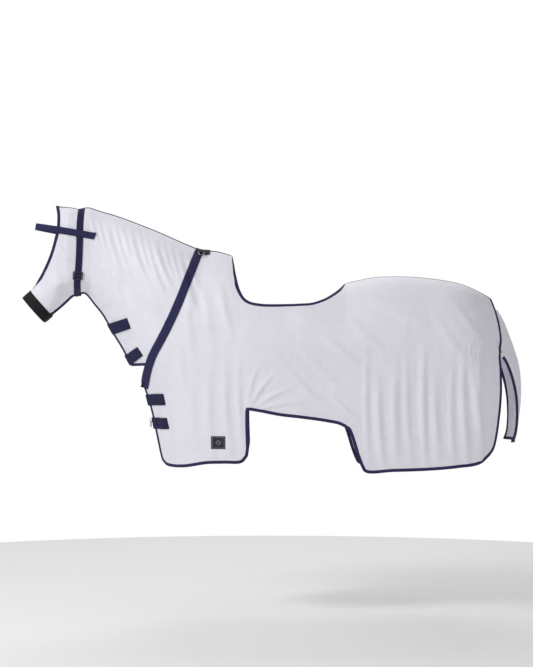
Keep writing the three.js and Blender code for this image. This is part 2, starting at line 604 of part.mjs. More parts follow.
function rearGrid() {
  const quarterColumn = smooth([RUMP[0], lerp2(RUMP[0], NOTCH_TOP_REAR.at(-1), 0.5), NOTCH_TOP_REAR.at(-1)]);
  const left = coons({
    top: smooth(OPENING_REAR),
    bottom: smooth(NOTCH_TOP_REAR),
    left: smooth([OPENING_REAR[0], NOTCH_TOP_REAR[0]]),
    right: quarterColumn,
    us: REAR_COLS_LEFT,
    vs: REAR_ROWS,
  });
  const right = coons({
    top: rumpTop,
    bottom: smooth(NOTCH_LEVEL_REAR),
    left: quarterColumn,
    right: smooth(REAR_EDGE),
    us: REAR_COLS_RIGHT,
    vs: REAR_ROWS,
  });
  const low = coons({
    top: smooth(NOTCH_LEVEL_REAR),
    bottom: smooth(QUARTER_HEM),
    left: smooth(QUARTER_FRONT_EDGE),
    right: smooth(REAR_EDGE_LOW),
    us: [0, ...REAR_COLS_RIGHT],
    vs: REAR_LOW_ROWS,
  });
  const grid = left.map((row, j) => [...row, ...right[j]]);
  low.forEach((row) => grid.push([...REAR_COLS_LEFT.slice(1).map(() => null), ...row]));
  const last = grid.length - 1;
  const end = grid[0].length - 1;
  squareRim(grid, [[0, QUARTER_ROW], [QUARTER_COL, QUARTER_ROW], [QUARTER_COL, last], [end, last], [end, 0]],
    BINDING_WIDTH);
  squareRim(grid, [[QUARTER_COL, 0], [0, 0]], BINDING_WIDTH);
  grid[0][QUARTER_COL + 1] = stepBack(grid[0][QUARTER_COL], grid[0][QUARTER_COL + 2], BINDING_WIDTH);
  return shifted(grid, { 0: SEAM_GAP });
}

// Neck panel: crest, throat seam, under edge with its short cut-off end, and neckline.
const NECK_COLS = [0, 0.045, 0.16, 0.3, 0.44, 0.58, 0.72, 0.84, 0.955, 1];
const NECK_CORNER = 7; // column where the under edge turns to the neckline
const NECK_CUT = [-322, -512]; // that corner
const throat = smooth(THROAT);

function neckGrid() {
  const foot = neckline(NECK_END);
  const under = smooth([...UNDER_NECK.slice(0, 6), [-340, -477], NECK_CUT]);
  const cut = smooth([NECK_CUT, lerp2(NECK_CUT, foot, 0.5), foot]);
  const grid = coons({
    top: crestTop,
    bottom: joined([under, cut], [NECK_COLS[NECK_CORNER]]),
    left: throat,
    right: part(neckline, 0, NECK_END),
    us: NECK_COLS,
    vs: NECK_ROWS,
  });
  const last = grid.length - 1;
  const end = grid[0].length - 1;
  squareRim(grid, [[0, 0], [0, last]], THROAT_STRAP_WIDTH / 2 + EDGE_CLEAR);
  squareRim(grid, [[end, last], [end, 0]], NECKLINE_BAND_WIDTH / 2 + EDGE_CLEAR);
  squareRim(grid, [[0, last], [end, last]], BINDING_WIDTH);
  grid[0][1] = stepBack(grid[0][0], grid[0][2], THROAT_STRAP_WIDTH / 2 + EDGE_CLEAR);
  grid[0][end - 1] = stepBack(grid[0][end], grid[0][end - 2], NECKLINE_BAND_WIDTH / 2 + EDGE_CLEAR);
  return shifted(grid, { 0: SEAM_GAP / 2, [end]: -SEAM_GAP });
}

// Head panel: poll, face opening, nose line and jaw, and throat seam.
const HEAD_COLS = [0, 0.09, 0.22, 0.36, 0.5, 0.54, 0.66, 0.78, 0.9, 1];
const HEAD_CORNER = 4; // column of the corner between the nose line and the jaw
const NOSE_OVERLAP = 8; // how far the cheek reaches under the nose band

// A place on the nose band's side: along the head from the band's upper edge, and across it.
function noseAt(along, across) {
  return [0, 1].map((axis) => NOSE_TOP[axis] + HEAD_AXIS[axis] * along + NOSE_ACROSS[axis] * across);
}

function headGrid() {
  const noseFront = noseAt(NOSE_OVERLAP, -NOSE_HALF_HEIGHT + 9);
  const noseJaw = noseAt(NOSE_OVERLAP, NOSE_HALF_HEIGHT - 7);
  const grid = coons({
    top: pollTop,
    bottom: joined([smooth([noseFront, lerp2(noseFront, noseJaw, 0.5), noseJaw]), smooth([noseJaw, ...JAW.slice(2)])],
      [HEAD_COLS[HEAD_CORNER]]),
    left: smooth([...FACE_OPENING.slice(0, -1), noseFront]),
    right: throat,
    us: HEAD_COLS,
    vs: NECK_ROWS,
  });
  const last = grid.length - 1;
  const end = grid[0].length - 1;
  squareRim(grid, [[0, 0], [0, last]], BINDING_WIDTH);
  squareRim(grid, [[end, last], [end, 0]], THROAT_STRAP_WIDTH / 2 + EDGE_CLEAR);
  squareRim(grid, [[HEAD_CORNER, last], [end, last]], BINDING_WIDTH);
  grid[0][1] = stepBack(grid[0][0], grid[0][2], BINDING_WIDTH);
  grid[0][end - 1] = stepBack(grid[0][end], grid[0][end - 2], THROAT_STRAP_WIDTH / 2 + EDGE_CLEAR);
  return shifted(grid, { [end]: -SEAM_GAP / 2 });
}

// ---- panels -----------------------------------------------------------------------------------------------
const grids = { front: frontGrid(), rear: rearGrid(), neck: neckGrid(), head: headGrid() };
const toplineColumns = {
  front: [0, TOP_CORNER], rear: [QUARTER_COL, Infinity], neck: [0, Infinity], head: [0, Infinity],
};
const cloth = {};
for (const [name, side] of SIDES) {
  cloth[name] = Object.fromEntries(Object.entries(grids).map(([key, grid]) => [
    key, layCloth(grid, side, toplineColumns[key]),
  ]));
  // The corner cells of the saddle opening run straight from the topline to the rim.
  const { front, rear } = cloth[name];
  front.p[1][TOP_CORNER].lerpVectors(front.p[0][TOP_CORNER - 1], front.p[1][TOP_CORNER + 1], 0.5);
  rear.p[1][QUARTER_COL].lerpVectors(rear.p[0][QUARTER_COL + 1], rear.p[1][QUARTER_COL - 1], 0.5);
  front.n[1][TOP_CORNER].addVectors(front.n[0][TOP_CORNER - 1], front.n[1][TOP_CORNER + 1]).normalize();
  rear.n[1][QUARTER_COL].addVectors(rear.n[0][QUARTER_COL + 1], rear.n[1][QUARTER_COL - 1]).normalize();
  const half = [-FACE, FACE];
  add(`${name}_front_body_panel`, slab(front, half), WHITE_MESH());
  add(`${name}_rear_body_panel`, slab(rear, half), WHITE_MESH());
  add(`${name}_neck_panel`, slab(cloth[name].neck, half), WHITE_MESH());
  add(`${name}_head_panel`, slab(cloth[name].head, half), WHITE_MESH());
}

// ---- tapes, bands and bindings ----------------------------------------------------------------------------
const { near, off } = cloth;
const last = (grid) => grid.p.length - 1;
const end = (grid) => grid.p[0].length - 1;
const mix = (a, b, t) => a.clone().lerp(b, t);

// A tape over the topline, across both sides of a pair of cloths, between two of their columns. It follows
// the cloths' triangles: a row on each column, and one where its edges cross the diagonals between them.
function toplineTape(nearCloth, offCloth, from, to, trim) {
  const share = (side, i) => TOPLINE_TAPE_WIDTH / 2 / side.p[0][i].distanceTo(side.p[1][i]);
  const rows = [];
  for (let i = from; i <= to; i += 1) {
    const onColumn = (side) => [mix(side.p[0][i], side.p[1][i], share(side, i)),
      mix(side.n[0][i], side.n[1][i], share(side, i))];
    const middle = [mix(nearCloth.p[0][i], offCloth.p[0][i], 0.5), nearCloth.n[0][i].clone()];
    rows.push([onColumn(nearCloth), middle, onColumn(offCloth)]);
    if (i === to) break;
    const t = share(nearCloth, i);
    const onDiagonal = (side) => [mix(side.p[0][i], side.p[1][i + 1], t), mix(side.n[0][i], side.n[1][i + 1], t)];
    const between = [mix(mix(nearCloth.p[0][i], nearCloth.p[0][i + 1], t),
      mix(offCloth.p[0][i], offCloth.p[0][i + 1], t), 0.5), mix(nearCloth.n[0][i], nearCloth.n[0][i + 1], t)];
    rows.push([onDiagonal(nearCloth), between, onDiagonal(offCloth)]);
  }
  // The two ends are trimmed back to clear the bindings or bands that they meet.
  const shorten = (row, next, amount) => row.forEach((place, c) => {
    place[0].lerp(next[c][0], amount / place[0].distanceTo(next[c][0]));
  });
  shorten(rows[0], rows[1], trim[0]);
  shorten(rows.at(-1), rows.at(-2), trim[1]);
  return { p: rows.map((row) => row.map(([p]) => p)), n: rows.map((row) => row.map(([, n]) => n)) };
}

for (const [name, key, from, to, trim] of [
  ['poll_tape', 'head', 1, end(near.head) - 1, [EDGE_CLEAR, 0]],
  ['crest_tape', 'neck', 1, end(near.neck) - 1, [0, 0]],
  ['wither_tape', 'front', 1, TOP_CORNER - 1, [0, EDGE_CLEAR]],
  ['spine_tape', 'rear', QUARTER_COL + 1, end(near.rear) - 1, [EDGE_CLEAR, EDGE_CLEAR]],
]) {
  const tape = toplineTape(near[key], off[key], from, to, trim);
  add(name, slab(tape, LAYER_1, { flip: (j, i) => i === 0 }), NAVY_TAPE());
}

// The band over the seam of two cloths: rows of { outer, middle, inner } places from both.
function seamRow(left, right, j, share) {
  const b = { p: right.p[j][0], n: right.n[j][0] };
  const c = { p: mix(b.p, right.p[j][1], share), n: mix(b.n, right.n[j][1], share) };
  if (j > last(left)) {
    const a = { p: b.p.clone().multiplyScalar(2).sub(c.p).setY(b.p.y), n: b.n.clone() };
    return [a, b, c];
  }
  const e = end(left);
  const a = { p: mix(left.p[j][e], left.p[j][e - 1], share), n: mix(left.n[j][e], left.n[j][e - 1], share) };
  return [a, { p: mix(b.p, left.p[j][e], 0.5), n: mix(b.n, left.n[j][e], 0.5) }, c];
}

// A cloth with clearance on both faces, to cut its neighbours back.
const room = (grid) => slab(grid, [-FACE - CUT_GAP, FACE + CUT_GAP]);

// A cutter with copies moved a little along and up the horse, so that it clears edges too.
const around = (...cutters) => cutters.flatMap((cutter) => [[0, 0], [1, 0], [-1, 0], [0, 1], [0, -1]].map(
  ([x, z]) => cutter.clone().translate(x * CUT_GAP, 0, z * CUT_GAP),
));

const asGrid = (rows) => ({
  p: rows.map((row) => row.map((place) => place.p)),
  n: rows.map((row) => row.map((place) => place.n)),
});

const BAND_SHARE = (NECKLINE_BAND_WIDTH / 2) / (NECKLINE_BAND_WIDTH / 2 + EDGE_CLEAR);
const STRAP_SHARE = (THROAT_STRAP_WIDTH / 2) / (THROAT_STRAP_WIDTH / 2 + EDGE_CLEAR);

const hems = [];
for (const [name] of SIDES) {
  const { front, rear, neck, head } = cloth[name];
  const bandRows = Array.from({ length: NECKLINE_FOOT + 1 }, (_, j) => seamRow(neck, front, j, BAND_SHARE));
  add(`${name}_neckline_band`, slab(asGrid(bandRows), LAYER_1), NAVY_TAPE());

  const bodyEdge = [
    ...edgeSamples(front, [[0, NECKLINE_FOOT + 1], [0, last(front)], [NOTCH_COL, last(front)],
      [NOTCH_COL, NOTCH_ROW], [end(front), NOTCH_ROW]]).slice(0, -1),
    ...edgeSamples(rear, [[0, QUARTER_ROW], [QUARTER_COL, QUARTER_ROW], [QUARTER_COL, last(rear)],
      [end(rear), last(rear)], [end(rear), 0]]),
  ];
  const hem = clearOf(binding(bodyEdge), [...around(room(front), slab(front, [-FACE, FACE])), room(rear)]);
  hems.push(hem);
  add(`${name}_edge_binding`, hem, NAVY_TAPE());
  add(`${name}_neck_front_binding`, binding(edgeSamples(neck, [[1, last(neck)], [end(neck) - 1, last(neck)]])),
    NAVY_TAPE());
  add(`${name}_jaw_binding`, binding(edgeSamples(head, [[HEAD_CORNER + 1, last(head)], [end(head) - 1, last(head)]])),
    NAVY_TAPE());
}

// The sample where a binding crosses the topline.
function crossing(side, edgeCol, innerCol) {
  const onCentre = (v) => vec(v.x, 0, v.z);
  return {
    edge: onCentre(side.p[0][edgeCol]), inner: onCentre(side.p[0][innerCol]), ne: side.n[0][edgeCol],
    ni: side.n[0][innerCol], place: { i: edgeCol, j: 0, di: innerCol - edgeCol, dj: 0 },
  };
}

const rearRim = (side) => edgeSamples(side.rear, [[QUARTER_COL - 1, 0], [0, 0]]);
const frontRim = (side) => edgeSamples(side.front, [[end(near.front), 0], [TOP_CORNER + 1, 0]]).slice(1);
const openingRim = binding([
  ...rearRim(near),
  ...frontRim(near),
  crossing(near.front, TOP_CORNER, TOP_CORNER - 1),
  ...frontRim(off).reverse(),
  ...rearRim(off).reverse(),
  crossing(near.rear, QUARTER_COL, QUARTER_COL + 1),
], true);
const underRim = [near.front, near.rear, off.front, off.rear].map(room);
const atRim = [near.front, off.front].map((grid) => slab(grid, [-FACE, FACE]).translate(CUT_GAP, 0, CUT_GAP));
add('saddle_opening_binding', clearOf(openingRim, [...underRim, ...atRim]), NAVY_TAPE());

const faceRim = (side) => edgeSamples(side.head, [[0, 1], [0, last(near.head) - 1]]);
add('face_binding', binding([...faceRim(near).reverse(), crossing(near.head, 0, 1), ...faceRim(off)]), NAVY_TAPE());

// ---- tail flap ------------------------------------------------------------------------------------------
const FLAP_GAP = 1; // between the sewn upper flap and the free lower flap
const FLAP_LEVELS = [-268, -290, -312, -335, -365, -405, FLAP_LIFT_LEVEL + FLAP_GAP / 2];
const FLAP_INSET = BINDING_TOP + LAY + FACE + 2; // how far the flap's edges lie inside the body sheet
const FLAP_TUCK = 14; // how far the upper flap reaches in past the rear edge
// The lower flap: height, then x and half-width of its side edge, then x of its middle.
const FLAP_LOW = [[-482, 1334, 163, 1413], [-520, 1352, 166, 1420], [-575, 1370, 164, 1425], [-640, 1384, 160, 1425],
  [-705, 1389, 156, 1420], [-765, 1388, 152, 1411], [-815, 1381, 147, 1404], [-835, 1374, 144, 1400],
  [-847, 1368, 142, 1397]];
const FLAP_STATIONS = [0, 0.07, 0.22, 0.42, 0.64, 0.86];
const FLAP_LEAVE = [0.93, -0.37]; // the way in which the free flap's side edge leads on, rearwards and inwards
const rearEdge = smooth(REAR_EDGE);
const tailByHeight = [...TAIL_LINE].reverse().map(([x, z]) => [z, x]);

// A row of the flap: from the near edge round the tail to the off edge, each half one smooth curve that
// starts in the direction lead and crosses the middle squarely.
function flapRow(z, x, y, middle, lead = FLAP_LEAVE) {
  const reach = 0.5 * (middle - x) / Math.max(0.5, lead[0]);
  const corners = [[x, y], [x + lead[0] * reach, y + lead[1] * reach], [middle, y * 0.55], [middle, 0]];
  const at = (t) => {
    const weights = [(1 - t) ** 3, 3 * t * (1 - t) ** 2, 3 * t * t * (1 - t), t ** 3];
    return [0, 1].map((axis) => corners.reduce((sum, corner, k) => sum + weights[k] * corner[axis], 0));
  };
  const half = FLAP_STATIONS.map(at);
  return [...half.map(([u, v]) => vec(u, -v, z)), ...half.reverse().map(([u, v]) => vec(u, v, z))];
}

function upperFlapRow(z) {
  let at = [0, 0];
  for (let t = 0; t <= 1; t += 0.002) {
    at = rearEdge(t);
    if (at[1] <= z) break;
  }
  const inside = (x) => {
    const place = onCloth(near.rear, x, z);
    return place.p.addScaledVector(place.n, -FLAP_INSET);
  };
  const edge = inside(at[0] - FLAP_TUCK);
  const lead = inside(at[0]).sub(edge);
  const length = Math.hypot(lead.x, lead.y);
  return [z, edge.x, -edge.y, table(tailByHeight, z), [lead.x / length, -lead.y / length]];
}

const flapOut = () => vec(1, 0, 0);
const upperFlap = withNormals(FLAP_LEVELS.map((z) => flapRow(...upperFlapRow(z))), flapOut);
const hingeRow = upperFlapRow(FLAP_LIFT_LEVEL - FLAP_GAP / 2);
const lowerFlap = withNormals([hingeRow, ...FLAP_LOW].map((row) => flapRow(...row)), flapOut);
add('tail_flap_upper', clearOf(slab(upperFlap, [-FACE, FACE]), [...around(...hems), room(near.rear), room(off.rear)]),
  WHITE_MESH());
add('tail_flap_lower', slab(lowerFlap, [-FACE, FACE]), WHITE_MESH());
const flapEdge = [[0, 1], [0, last(lowerFlap)], [end(lowerFlap), last(lowerFlap)], [end(lowerFlap), 1]];
add('tail_flap_binding', clearOf(binding(edgeSamples(lowerFlap, flapEdge)), [room(lowerFlap)]), NAVY_TAPE());

// ---- touch-tape tabs at the neck and chest ----------------------------------------------------------------
const TAB_START = 3.5; // how far a tab's hinge lies outside the front edge
const TAB_TURN = 7; // how far the webbing's turn round the front lies outside the edge
const TAB_BASE_SHARE = 0.6; // how far the tab reaches back on the off side, as a share of the near side
const TAB_STEP = 10;
const TOUCH_START = 2; // rows of a tab before its touch tape starts
// Each tab: its name, the cloth it closes, and its corners: upper front, lower front, upper back, lower back.
const TABS = [
  ['neck_tab_upper', 'neck', [-425, -324], [-399, -370], [-335, -298], [-318, -345]],
  ['neck_tab_lower', 'neck', [-346, -464], [-322, -508], [-291, -428], [-265, -467]],
  ['chest_tab_upper', 'front', [-251, -640], [-240, -690], [-172, -634], [-162, -684]],
  ['chest_tab_lower', 'front', [-228, -744], [-216, -794], [-160, -742], [-148, -792]],
];

// The nearest point on a cloth's free front edge in the side view.
function onEdge(key, from) {
  const run = key === 'neck' ? [[1, last(near.neck)], [NECK_CORNER, last(near.neck)]]
    : [[0, NECKLINE_FOOT], [0, last(near.front)]];
  const line = walk(run).map(({ i, j }) => grids[key][j][i]);
  let best = null;
  for (let k = 1; k < line.length; k += 1) {
    for (const t of spread(40)) {
      const at = lerp2(line[k - 1], line[k], t);
      const distance = Math.hypot(at[0] - from[0], at[1] - from[1]);
      if (!best || distance < best.distance) best = { at, distance };
    }
  }
  return best.at;
}

// A piece laid on a cloth between a front line and a back line of side-view points.
function patchOn(side, front, back, shares) {
  const rows = shares.map((t) => front.map((at, c) => onCloth(side, ...lerp2(at, back[c], t))));
  return asGrid(rows);
}

// Moves the first row of a strip outwards along the cloth.
function outwards(strip, distance) {
  return strip.p[0].map((at, c) => at.clone().addScaledVector(at.clone().sub(strip.p[1][c]).normalize(), distance));
}

const turns = {};
for (const [name, key, upper, lower, upperBack, lowerBack] of TABS) {
  const middle = (a, b) => lerp2(a, b, 0.5);
  const front = [upper, middle(upper, lower), lower].map((at) => onEdge(key, at));
  const back = [upperBack, middle(upperBack, lowerBack), lowerBack];
  const length = Math.hypot(back[1][0] - front[1][0], back[1][1] - front[1][1]);
  const shares = spread(Math.round(length / TAB_STEP));
  const leaf = patchOn(near[key], front, back, shares);
  const touch = patchOn(near[key], front, back, [...shares.slice(TOUCH_START), 1 + HOOK_PROUD / length]);
  const turn = outwards(leaf, TAB_TURN).map((at, c) => at.addScaledVector(leaf.n[0][c], TAB_LAYER[0] + TAPE / 2));
  turns[name] = turn[1];
  leaf.p[0] = outwards(leaf, TAB_START);
  add(`${name}_leaf`, slab(leaf, TAB_LAYER), NAVY_WEB());
  add(`${name}_hook_tape`, slab(touch, HOOK_TAPE), BLACK_WEB());
  add(`${name}_loop_tape`, slab(touch, LOOP_TAPE), NAVY_WEB());

  const base = patchOn(off[key], front, back, shares.filter((t) => t <= TAB_BASE_SHARE));
  const height = BINDING_TOP + LAY + TAPE / 2;
  const raised = base.p.map((row, j) => row.map((at, c) => at.clone().addScaledVector(base.n[j][c], height)));
  const offTurn = outwards(base, TAB_TURN).map((at, c) => at.addScaledVector(base.n[0][c], height));
  const rows = [...raised.reverse(), offTurn, turn];
  const out = (at) => vec(at.x - back[1][0], at.y, at.z - back[1][1]);
  add(`${name}_base`, slab(withNormals(rows, out), [-TAPE / 2, TAPE / 2]), NAVY_WEB());
}

// ---- label, elastic, bar tacks ---------------------------------------------------------------------------
const LABEL_AT = [76, -844];
const labelColumn = (x) => [[x, LABEL_AT[1] + LABEL_HEIGHT / 2], [x, LABEL_AT[1]], [x, LABEL_AT[1] - LABEL_HEIGHT / 2]];
const label = patchOn(near.front, labelColumn(LABEL_AT[0] - LABEL_WIDTH / 2), labelColumn(LABEL_AT[0] + LABEL_WIDTH / 2),
  spread(4));
add('label_patch', slab(label, [FACE + TOUCH_GAP, FACE + TOUCH_GAP + TOUCH_TAPE]), BLACK_WEB());

const ELASTIC_WIDTH = 14;
const ELASTIC_FROM = [1188, FLAP_LIFT_LEVEL];
const ELASTIC_TO = [1294, FLAP_LIFT_LEVEL];
const TACK_LENGTH = 14;
const TACK_HEIGHT = 7;
for (const [name] of SIDES) {
  const { rear } = cloth[name];
  const elastic = stripOn(rear, steps(ELASTIC_FROM, ELASTIC_TO, 9), ELASTIC_WIDTH);
  add(`${name}_flank_elastic`, slab(elastic, [-LAYER_1[1], -LAYER_1[0]]), WHITE_MESH());
  const [row] = edgeSamples(rear, [[end(rear), last(rear)], [end(rear), 0]]).map(({ edge }) => edge)
    .filter((at) => at.z > FLAP_LIFT_LEVEL).slice(0, 1);
  const tack = stripOn(rear, steps([row.x - TACK_LENGTH, FLAP_LIFT_LEVEL], [row.x - 1, FLAP_LIFT_LEVEL], 7), TACK_HEIGHT);
  add(`${name}_bar_tack`, slab(tack, [BINDING_TOP + TOUCH_GAP, BINDING_TOP + TOUCH_GAP + TOUCH_TAPE]), RED_THREAD());
}

// ---- nose band ------------------------------------------------------------------------------------------
const NOSE_OPEN = 0.2; // half the angle of the band's opening under the jaw
const NOSE_STEPS = 26;
const NOSE_POWER = 2 / 2.4;

// A place on the nose band: the angle round the nose from the face, how far along the head, how far out.
function noseRing(angle, along, out) {
  const bend = (v) => Math.sign(v) * Math.abs(v) ** NOSE_POWER;
  const across = -(NOSE_HALF_HEIGHT + out) * bend(Math.cos(angle));
  const [x, z] = noseAt(along, across);
  return vec(x, (NOSE_HALF_WIDTH + out) * bend(Math.sin(angle)), z);
}

const noseCentre = noseAt(0, 0);
const noseOut = (at) => {
  const across = (at.x - noseCentre[0]) * NOSE_ACROSS[0] + (at.z - noseCentre[1]) * NOSE_ACROSS[1];
  return vec(NOSE_ACROSS[0] * across, at.y, NOSE_ACROSS[1] * across);
};
const noseAngles = spread(NOSE_STEPS).map((t) => (2 * t - 1) * (Math.PI - NOSE_OPEN));
const NOSE_RISE = 2; // how far the band's upper edge lies past the end of the bindings
const noseBand = noseAngles.map((a) => [NOSE_RISE, NOSE_BAND_WIDTH].map((along) => noseRing(a, along, 0)));
const NOSE_HALF = NOSE_BAND_THICKNESS / 2;
add('nose_band', clearOf(slab(withNormals(noseBand, noseOut), [-NOSE_HALF, NOSE_HALF]),
  around(room(near.head), room(off.head))), BLACK_WEB());

const NOSE_TAB_REACH = 0.75; // how far the tab reaches round on the near side, as an angle
const NOSE_TAB_WIDTH = 38;
const NOSE_TAB_MARGIN = 6;
const noseTabAngles = spread(10).map((t) => Math.PI - NOSE_OPEN - 0.12 + t * (NOSE_TAB_REACH + NOSE_OPEN + 0.12));
const tabOut = NOSE_HALF + TOUCH_GAP + TAPE / 2;
const noseTab = noseTabAngles.map((a) => [NOSE_TAB_MARGIN, NOSE_TAB_MARGIN + NOSE_TAB_WIDTH]
  .map((along) => noseRing(a, along, tabOut)));
add('nose_band_tab', slab(withNormals(noseTab, noseOut), [-TAPE / 2, TAPE / 2]), BLACK_WEB());

// ---- throat strap and slider --------------------------------------------------------------------------------
const seamPlaces = (side) => Array.from({ length: NECK_ROWS.length }, (_, j) => (
  seamRow(side.head, side.neck, j, STRAP_SHARE)));
const meanRow = (a, b) => a.map((place, c) => ({ p: mix(place.p, b[c].p, 0.5), n: mix(place.n, b[c].n, 0.5) }));
const atHeight = (rows, z) => {
  const k = rows.findIndex((row) => row[1].p.z < z);
  const t = (rows[k - 1][1].p.z - z) / (rows[k - 1][1].p.z - rows[k][1].p.z);
  return rows[k].map((place, c) => ({
    p: mix(rows[k - 1][c].p, place.p, t), n: mix(rows[k - 1][c].n, place.n, t),
  }));
};
const STRAP_SPLIT = 1.2; // gap between the strap's upper and lower lengths, under the slider
const nearStrap = seamPlaces(near);
const offStrap = seamPlaces(off);
const upperEnd = atHeight(nearStrap, SLIDER_Z + STRAP_SPLIT / 2);
const lowerStart = atHeight(nearStrap, SLIDER_Z - STRAP_SPLIT / 2);
const above = nearStrap.slice(1).filter((row) => row[1].p.z > SLIDER_Z + 2).reverse();
const below = nearStrap.filter((row) => row[1].p.z < SLIDER_Z - 2);
const overPoll = asGrid([upperEnd, ...above, meanRow(nearStrap[0], offStrap[0]), ...offStrap.slice(1)]);
add('throat_strap', clearOf(slab(overPoll, LAYER_1), [near.head, near.neck, off.head, off.neck].map(room)),
  NAVY_WEB());

// The lower length goes on under the throat to just short of the strap's end on the off side.
const UNDER_THROAT = 9; // how far below the panels' lower edges the strap passes
const strapFace = (row) => row.map(({ p, n }) => p.clone().addScaledVector(n, (LAYER_1[0] + LAYER_1[1]) / 2));
const bottom = strapFace(below.at(-1));
const turned = bottom.map((at) => vec(at.x, at.y + 2, at.z - UNDER_THROAT));
const offTurned = turned.map((at) => vec(at.x, -at.y, at.z));
const underThroat = [...[lowerStart, ...below].map(strapFace), turned, offTurned];
const throatOut = (at) => vec(0, at.y, Math.min(0, at.z + 150) / 10);
add('throat_strap_lower', slab(withNormals(underThroat, throatOut), [-TAPE / 2, TAPE / 2]), NAVY_WEB());

// The slider is a flat frame with a middle bar, square to the strap.
const SLIDER_SLOT = SLIDER_WIDTH - 2 * SLIDER_BAR;
const sliderShape = new THREE.Shape([
  [-SLIDER_WIDTH / 2, -SLIDER_HEIGHT / 2], [SLIDER_WIDTH / 2, -SLIDER_HEIGHT / 2],
  [SLIDER_WIDTH / 2, SLIDER_HEIGHT / 2], [-SLIDER_WIDTH / 2, SLIDER_HEIGHT / 2],
].map(([x, y]) => new THREE.Vector2(x, y)));
const slotHeight = (SLIDER_HEIGHT - 3 * SLIDER_BAR) / 2;
for (const sign of [-1, 1]) {
  const middle = sign * (slotHeight + SLIDER_BAR) / 2;
  sliderShape.holes.push(new THREE.Path([
    [-SLIDER_SLOT / 2, middle - slotHeight / 2], [-SLIDER_SLOT / 2, middle + slotHeight / 2],
    [SLIDER_SLOT / 2, middle + slotHeight / 2], [SLIDER_SLOT / 2, middle - slotHeight / 2],
  ].map(([x, y]) => new THREE.Vector2(x, y))));
}
const sliderAt = upperEnd[1];
const strapTop = seamPlaces(near)[5][1].p;
const sliderUp = strapTop.clone().sub(nearStrap.at(-4)[1].p).normalize();
const sliderNormal = sliderAt.n.clone().addScaledVector(sliderUp, -sliderAt.n.dot(sliderUp)).normalize();
const sliderAcross = sliderUp.clone().cross(sliderNormal);
const sliderGeometry = new THREE.ExtrudeGeometry(sliderShape, { depth: SLIDER_THICKNESS, bevelEnabled: false });
const slider = add('throat_slider', sliderGeometry, DARK_PLASTIC());
slider.quaternion.setFromRotationMatrix(new THREE.Matrix4().makeBasis(sliderAcross, sliderUp, sliderNormal));
const SLIDER_LIFT = 0.9; // over the strap's face, to clear its slight curve
slider.position.copy(sliderAt.p).addScaledVector(sliderAt.n, LAYER_1[1] + SLIDER_LIFT);

// ---- brow strap ---------------------------------------------------------------------------------------------
const BROW_SLOPE = [[-754, 114], [-478, 66]]; // the strap's middle line
const BROW_HINGE = -566; // where its near end comes free
const BROW_GAP = 0.8;
const BROW_END = [-478, -486, -496, -506, -515, -522, -530, -539, -548, -557, BROW_HINGE + BROW_GAP];
const BROW_HELD = [...BROW_END.slice(0, -1), BROW_HINGE, -575, -590, -610, -630, -652];
const BROW_FRONT = [[-688, 78], [-718, 60], [-740, 37], [-752, 13]];
const BROW_TOUCH = -522; // where its touch tape starts
const BROW_LIFT = 2; // extra height where it passes over the throat strap
const browHeight = (x) => lerp2(...BROW_SLOPE, (x - BROW_SLOPE[0][0]) / (BROW_SLOPE[1][0] - BROW_SLOPE[0][0]))[1];
const BROW_HEIGHT = TAB_LAYER[0] + TAPE / 2;
const browUp = vec(0.17, 0, 0.985).multiplyScalar(BROW_STRAP_WIDTH / 2);
const browPair = (at) => [-1, 0, 1].map((sign) => at.clone().addScaledVector(browUp, sign));
const browLift = (x) => BROW_LIFT * clamp01((BROW_TOUCH - x) / 8);

// A row of the brow strap on the cloth, at a distance along the horse.
function browRow(side, x) {
  const grid = x < -547 ? side.head : side.neck;
  const z = browHeight(x);
  return [-1, 0, 1].map((sign) => {
    const place = onCloth(grid, x + sign * browUp.x, z + sign * browUp.z);
    place.p.addScaledVector(place.n, browLift(x));
    return place;
  });
}

const browOut = (at) => vec((at.x + 600) / 4, at.y, 0);
const BROW_SEWN = (LAYER_1[0] + LAYER_1[1]) / 2; // height of its off end, which is sewn to the cloth
const held = (side, from) => BROW_HELD.filter((x) => x <= from).map((x) => (
  browRow(side, x).map(({ p, n }) => p.addScaledVector(n, x > BROW_TOUCH ? BROW_SEWN : BROW_HEIGHT))));
const browFront = (sign) => BROW_FRONT.map(([x, y]) => browPair(vec(x, sign * y, browHeight(x))));
const browRows = [...held(off, 0), ...browFront(1), ...browFront(-1).reverse(), ...held(near, BROW_HINGE).reverse()];
add('brow_strap', slab(withNormals(browRows, browOut), [-TAPE / 2, TAPE / 2]), NAVY_TAPE());
const browEnd = BROW_END.map((x) => browRow(near, x));
add('brow_strap_end', slab(asGrid(browEnd), TAB_LAYER), NAVY_TAPE());
const browTouch = asGrid(browEnd.filter((_, k) => BROW_END[k] >= BROW_TOUCH));
add('brow_strap_hook_tape', slab(browTouch, HOOK_TAPE), BLACK_WEB());
add('brow_strap_loop_tape', slab(browTouch, LOOP_TAPE), NAVY_WEB());

// ---- webbing and ring at the withers, and ring at the chest -----------------------------------------------------
const WITHER_PATCH = [-30, -20, -8, 4, 18, 32]; // its rows along the horse
const WITHER_REACH = [-46, -36, -26, -17, -8, 0, 8, 17, 26, 36, 46]; // its columns across the horse

// The place on top of the withers at a distance along and across.
function onWithers(x, y) {
  const side = y < 0 ? near : off;
  const seamAt = -16;
  const grid = x < seamAt ? side.neck : side.front;
  if (y === 0) return { p: vec(x, 0, table(TOPLINE, x)), n: vec(0, 0, 1) };
  let [low, high] = [-160, table(TOPLINE, x)];
  for (let pass = 0; pass < 30; pass += 1) {
    const z = (low + high) / 2;
    if (Math.abs(onCloth(grid, x, z).p.y) > Math.abs(y)) low = z;
    else high = z;
  }
  return onCloth(grid, x, high);
}

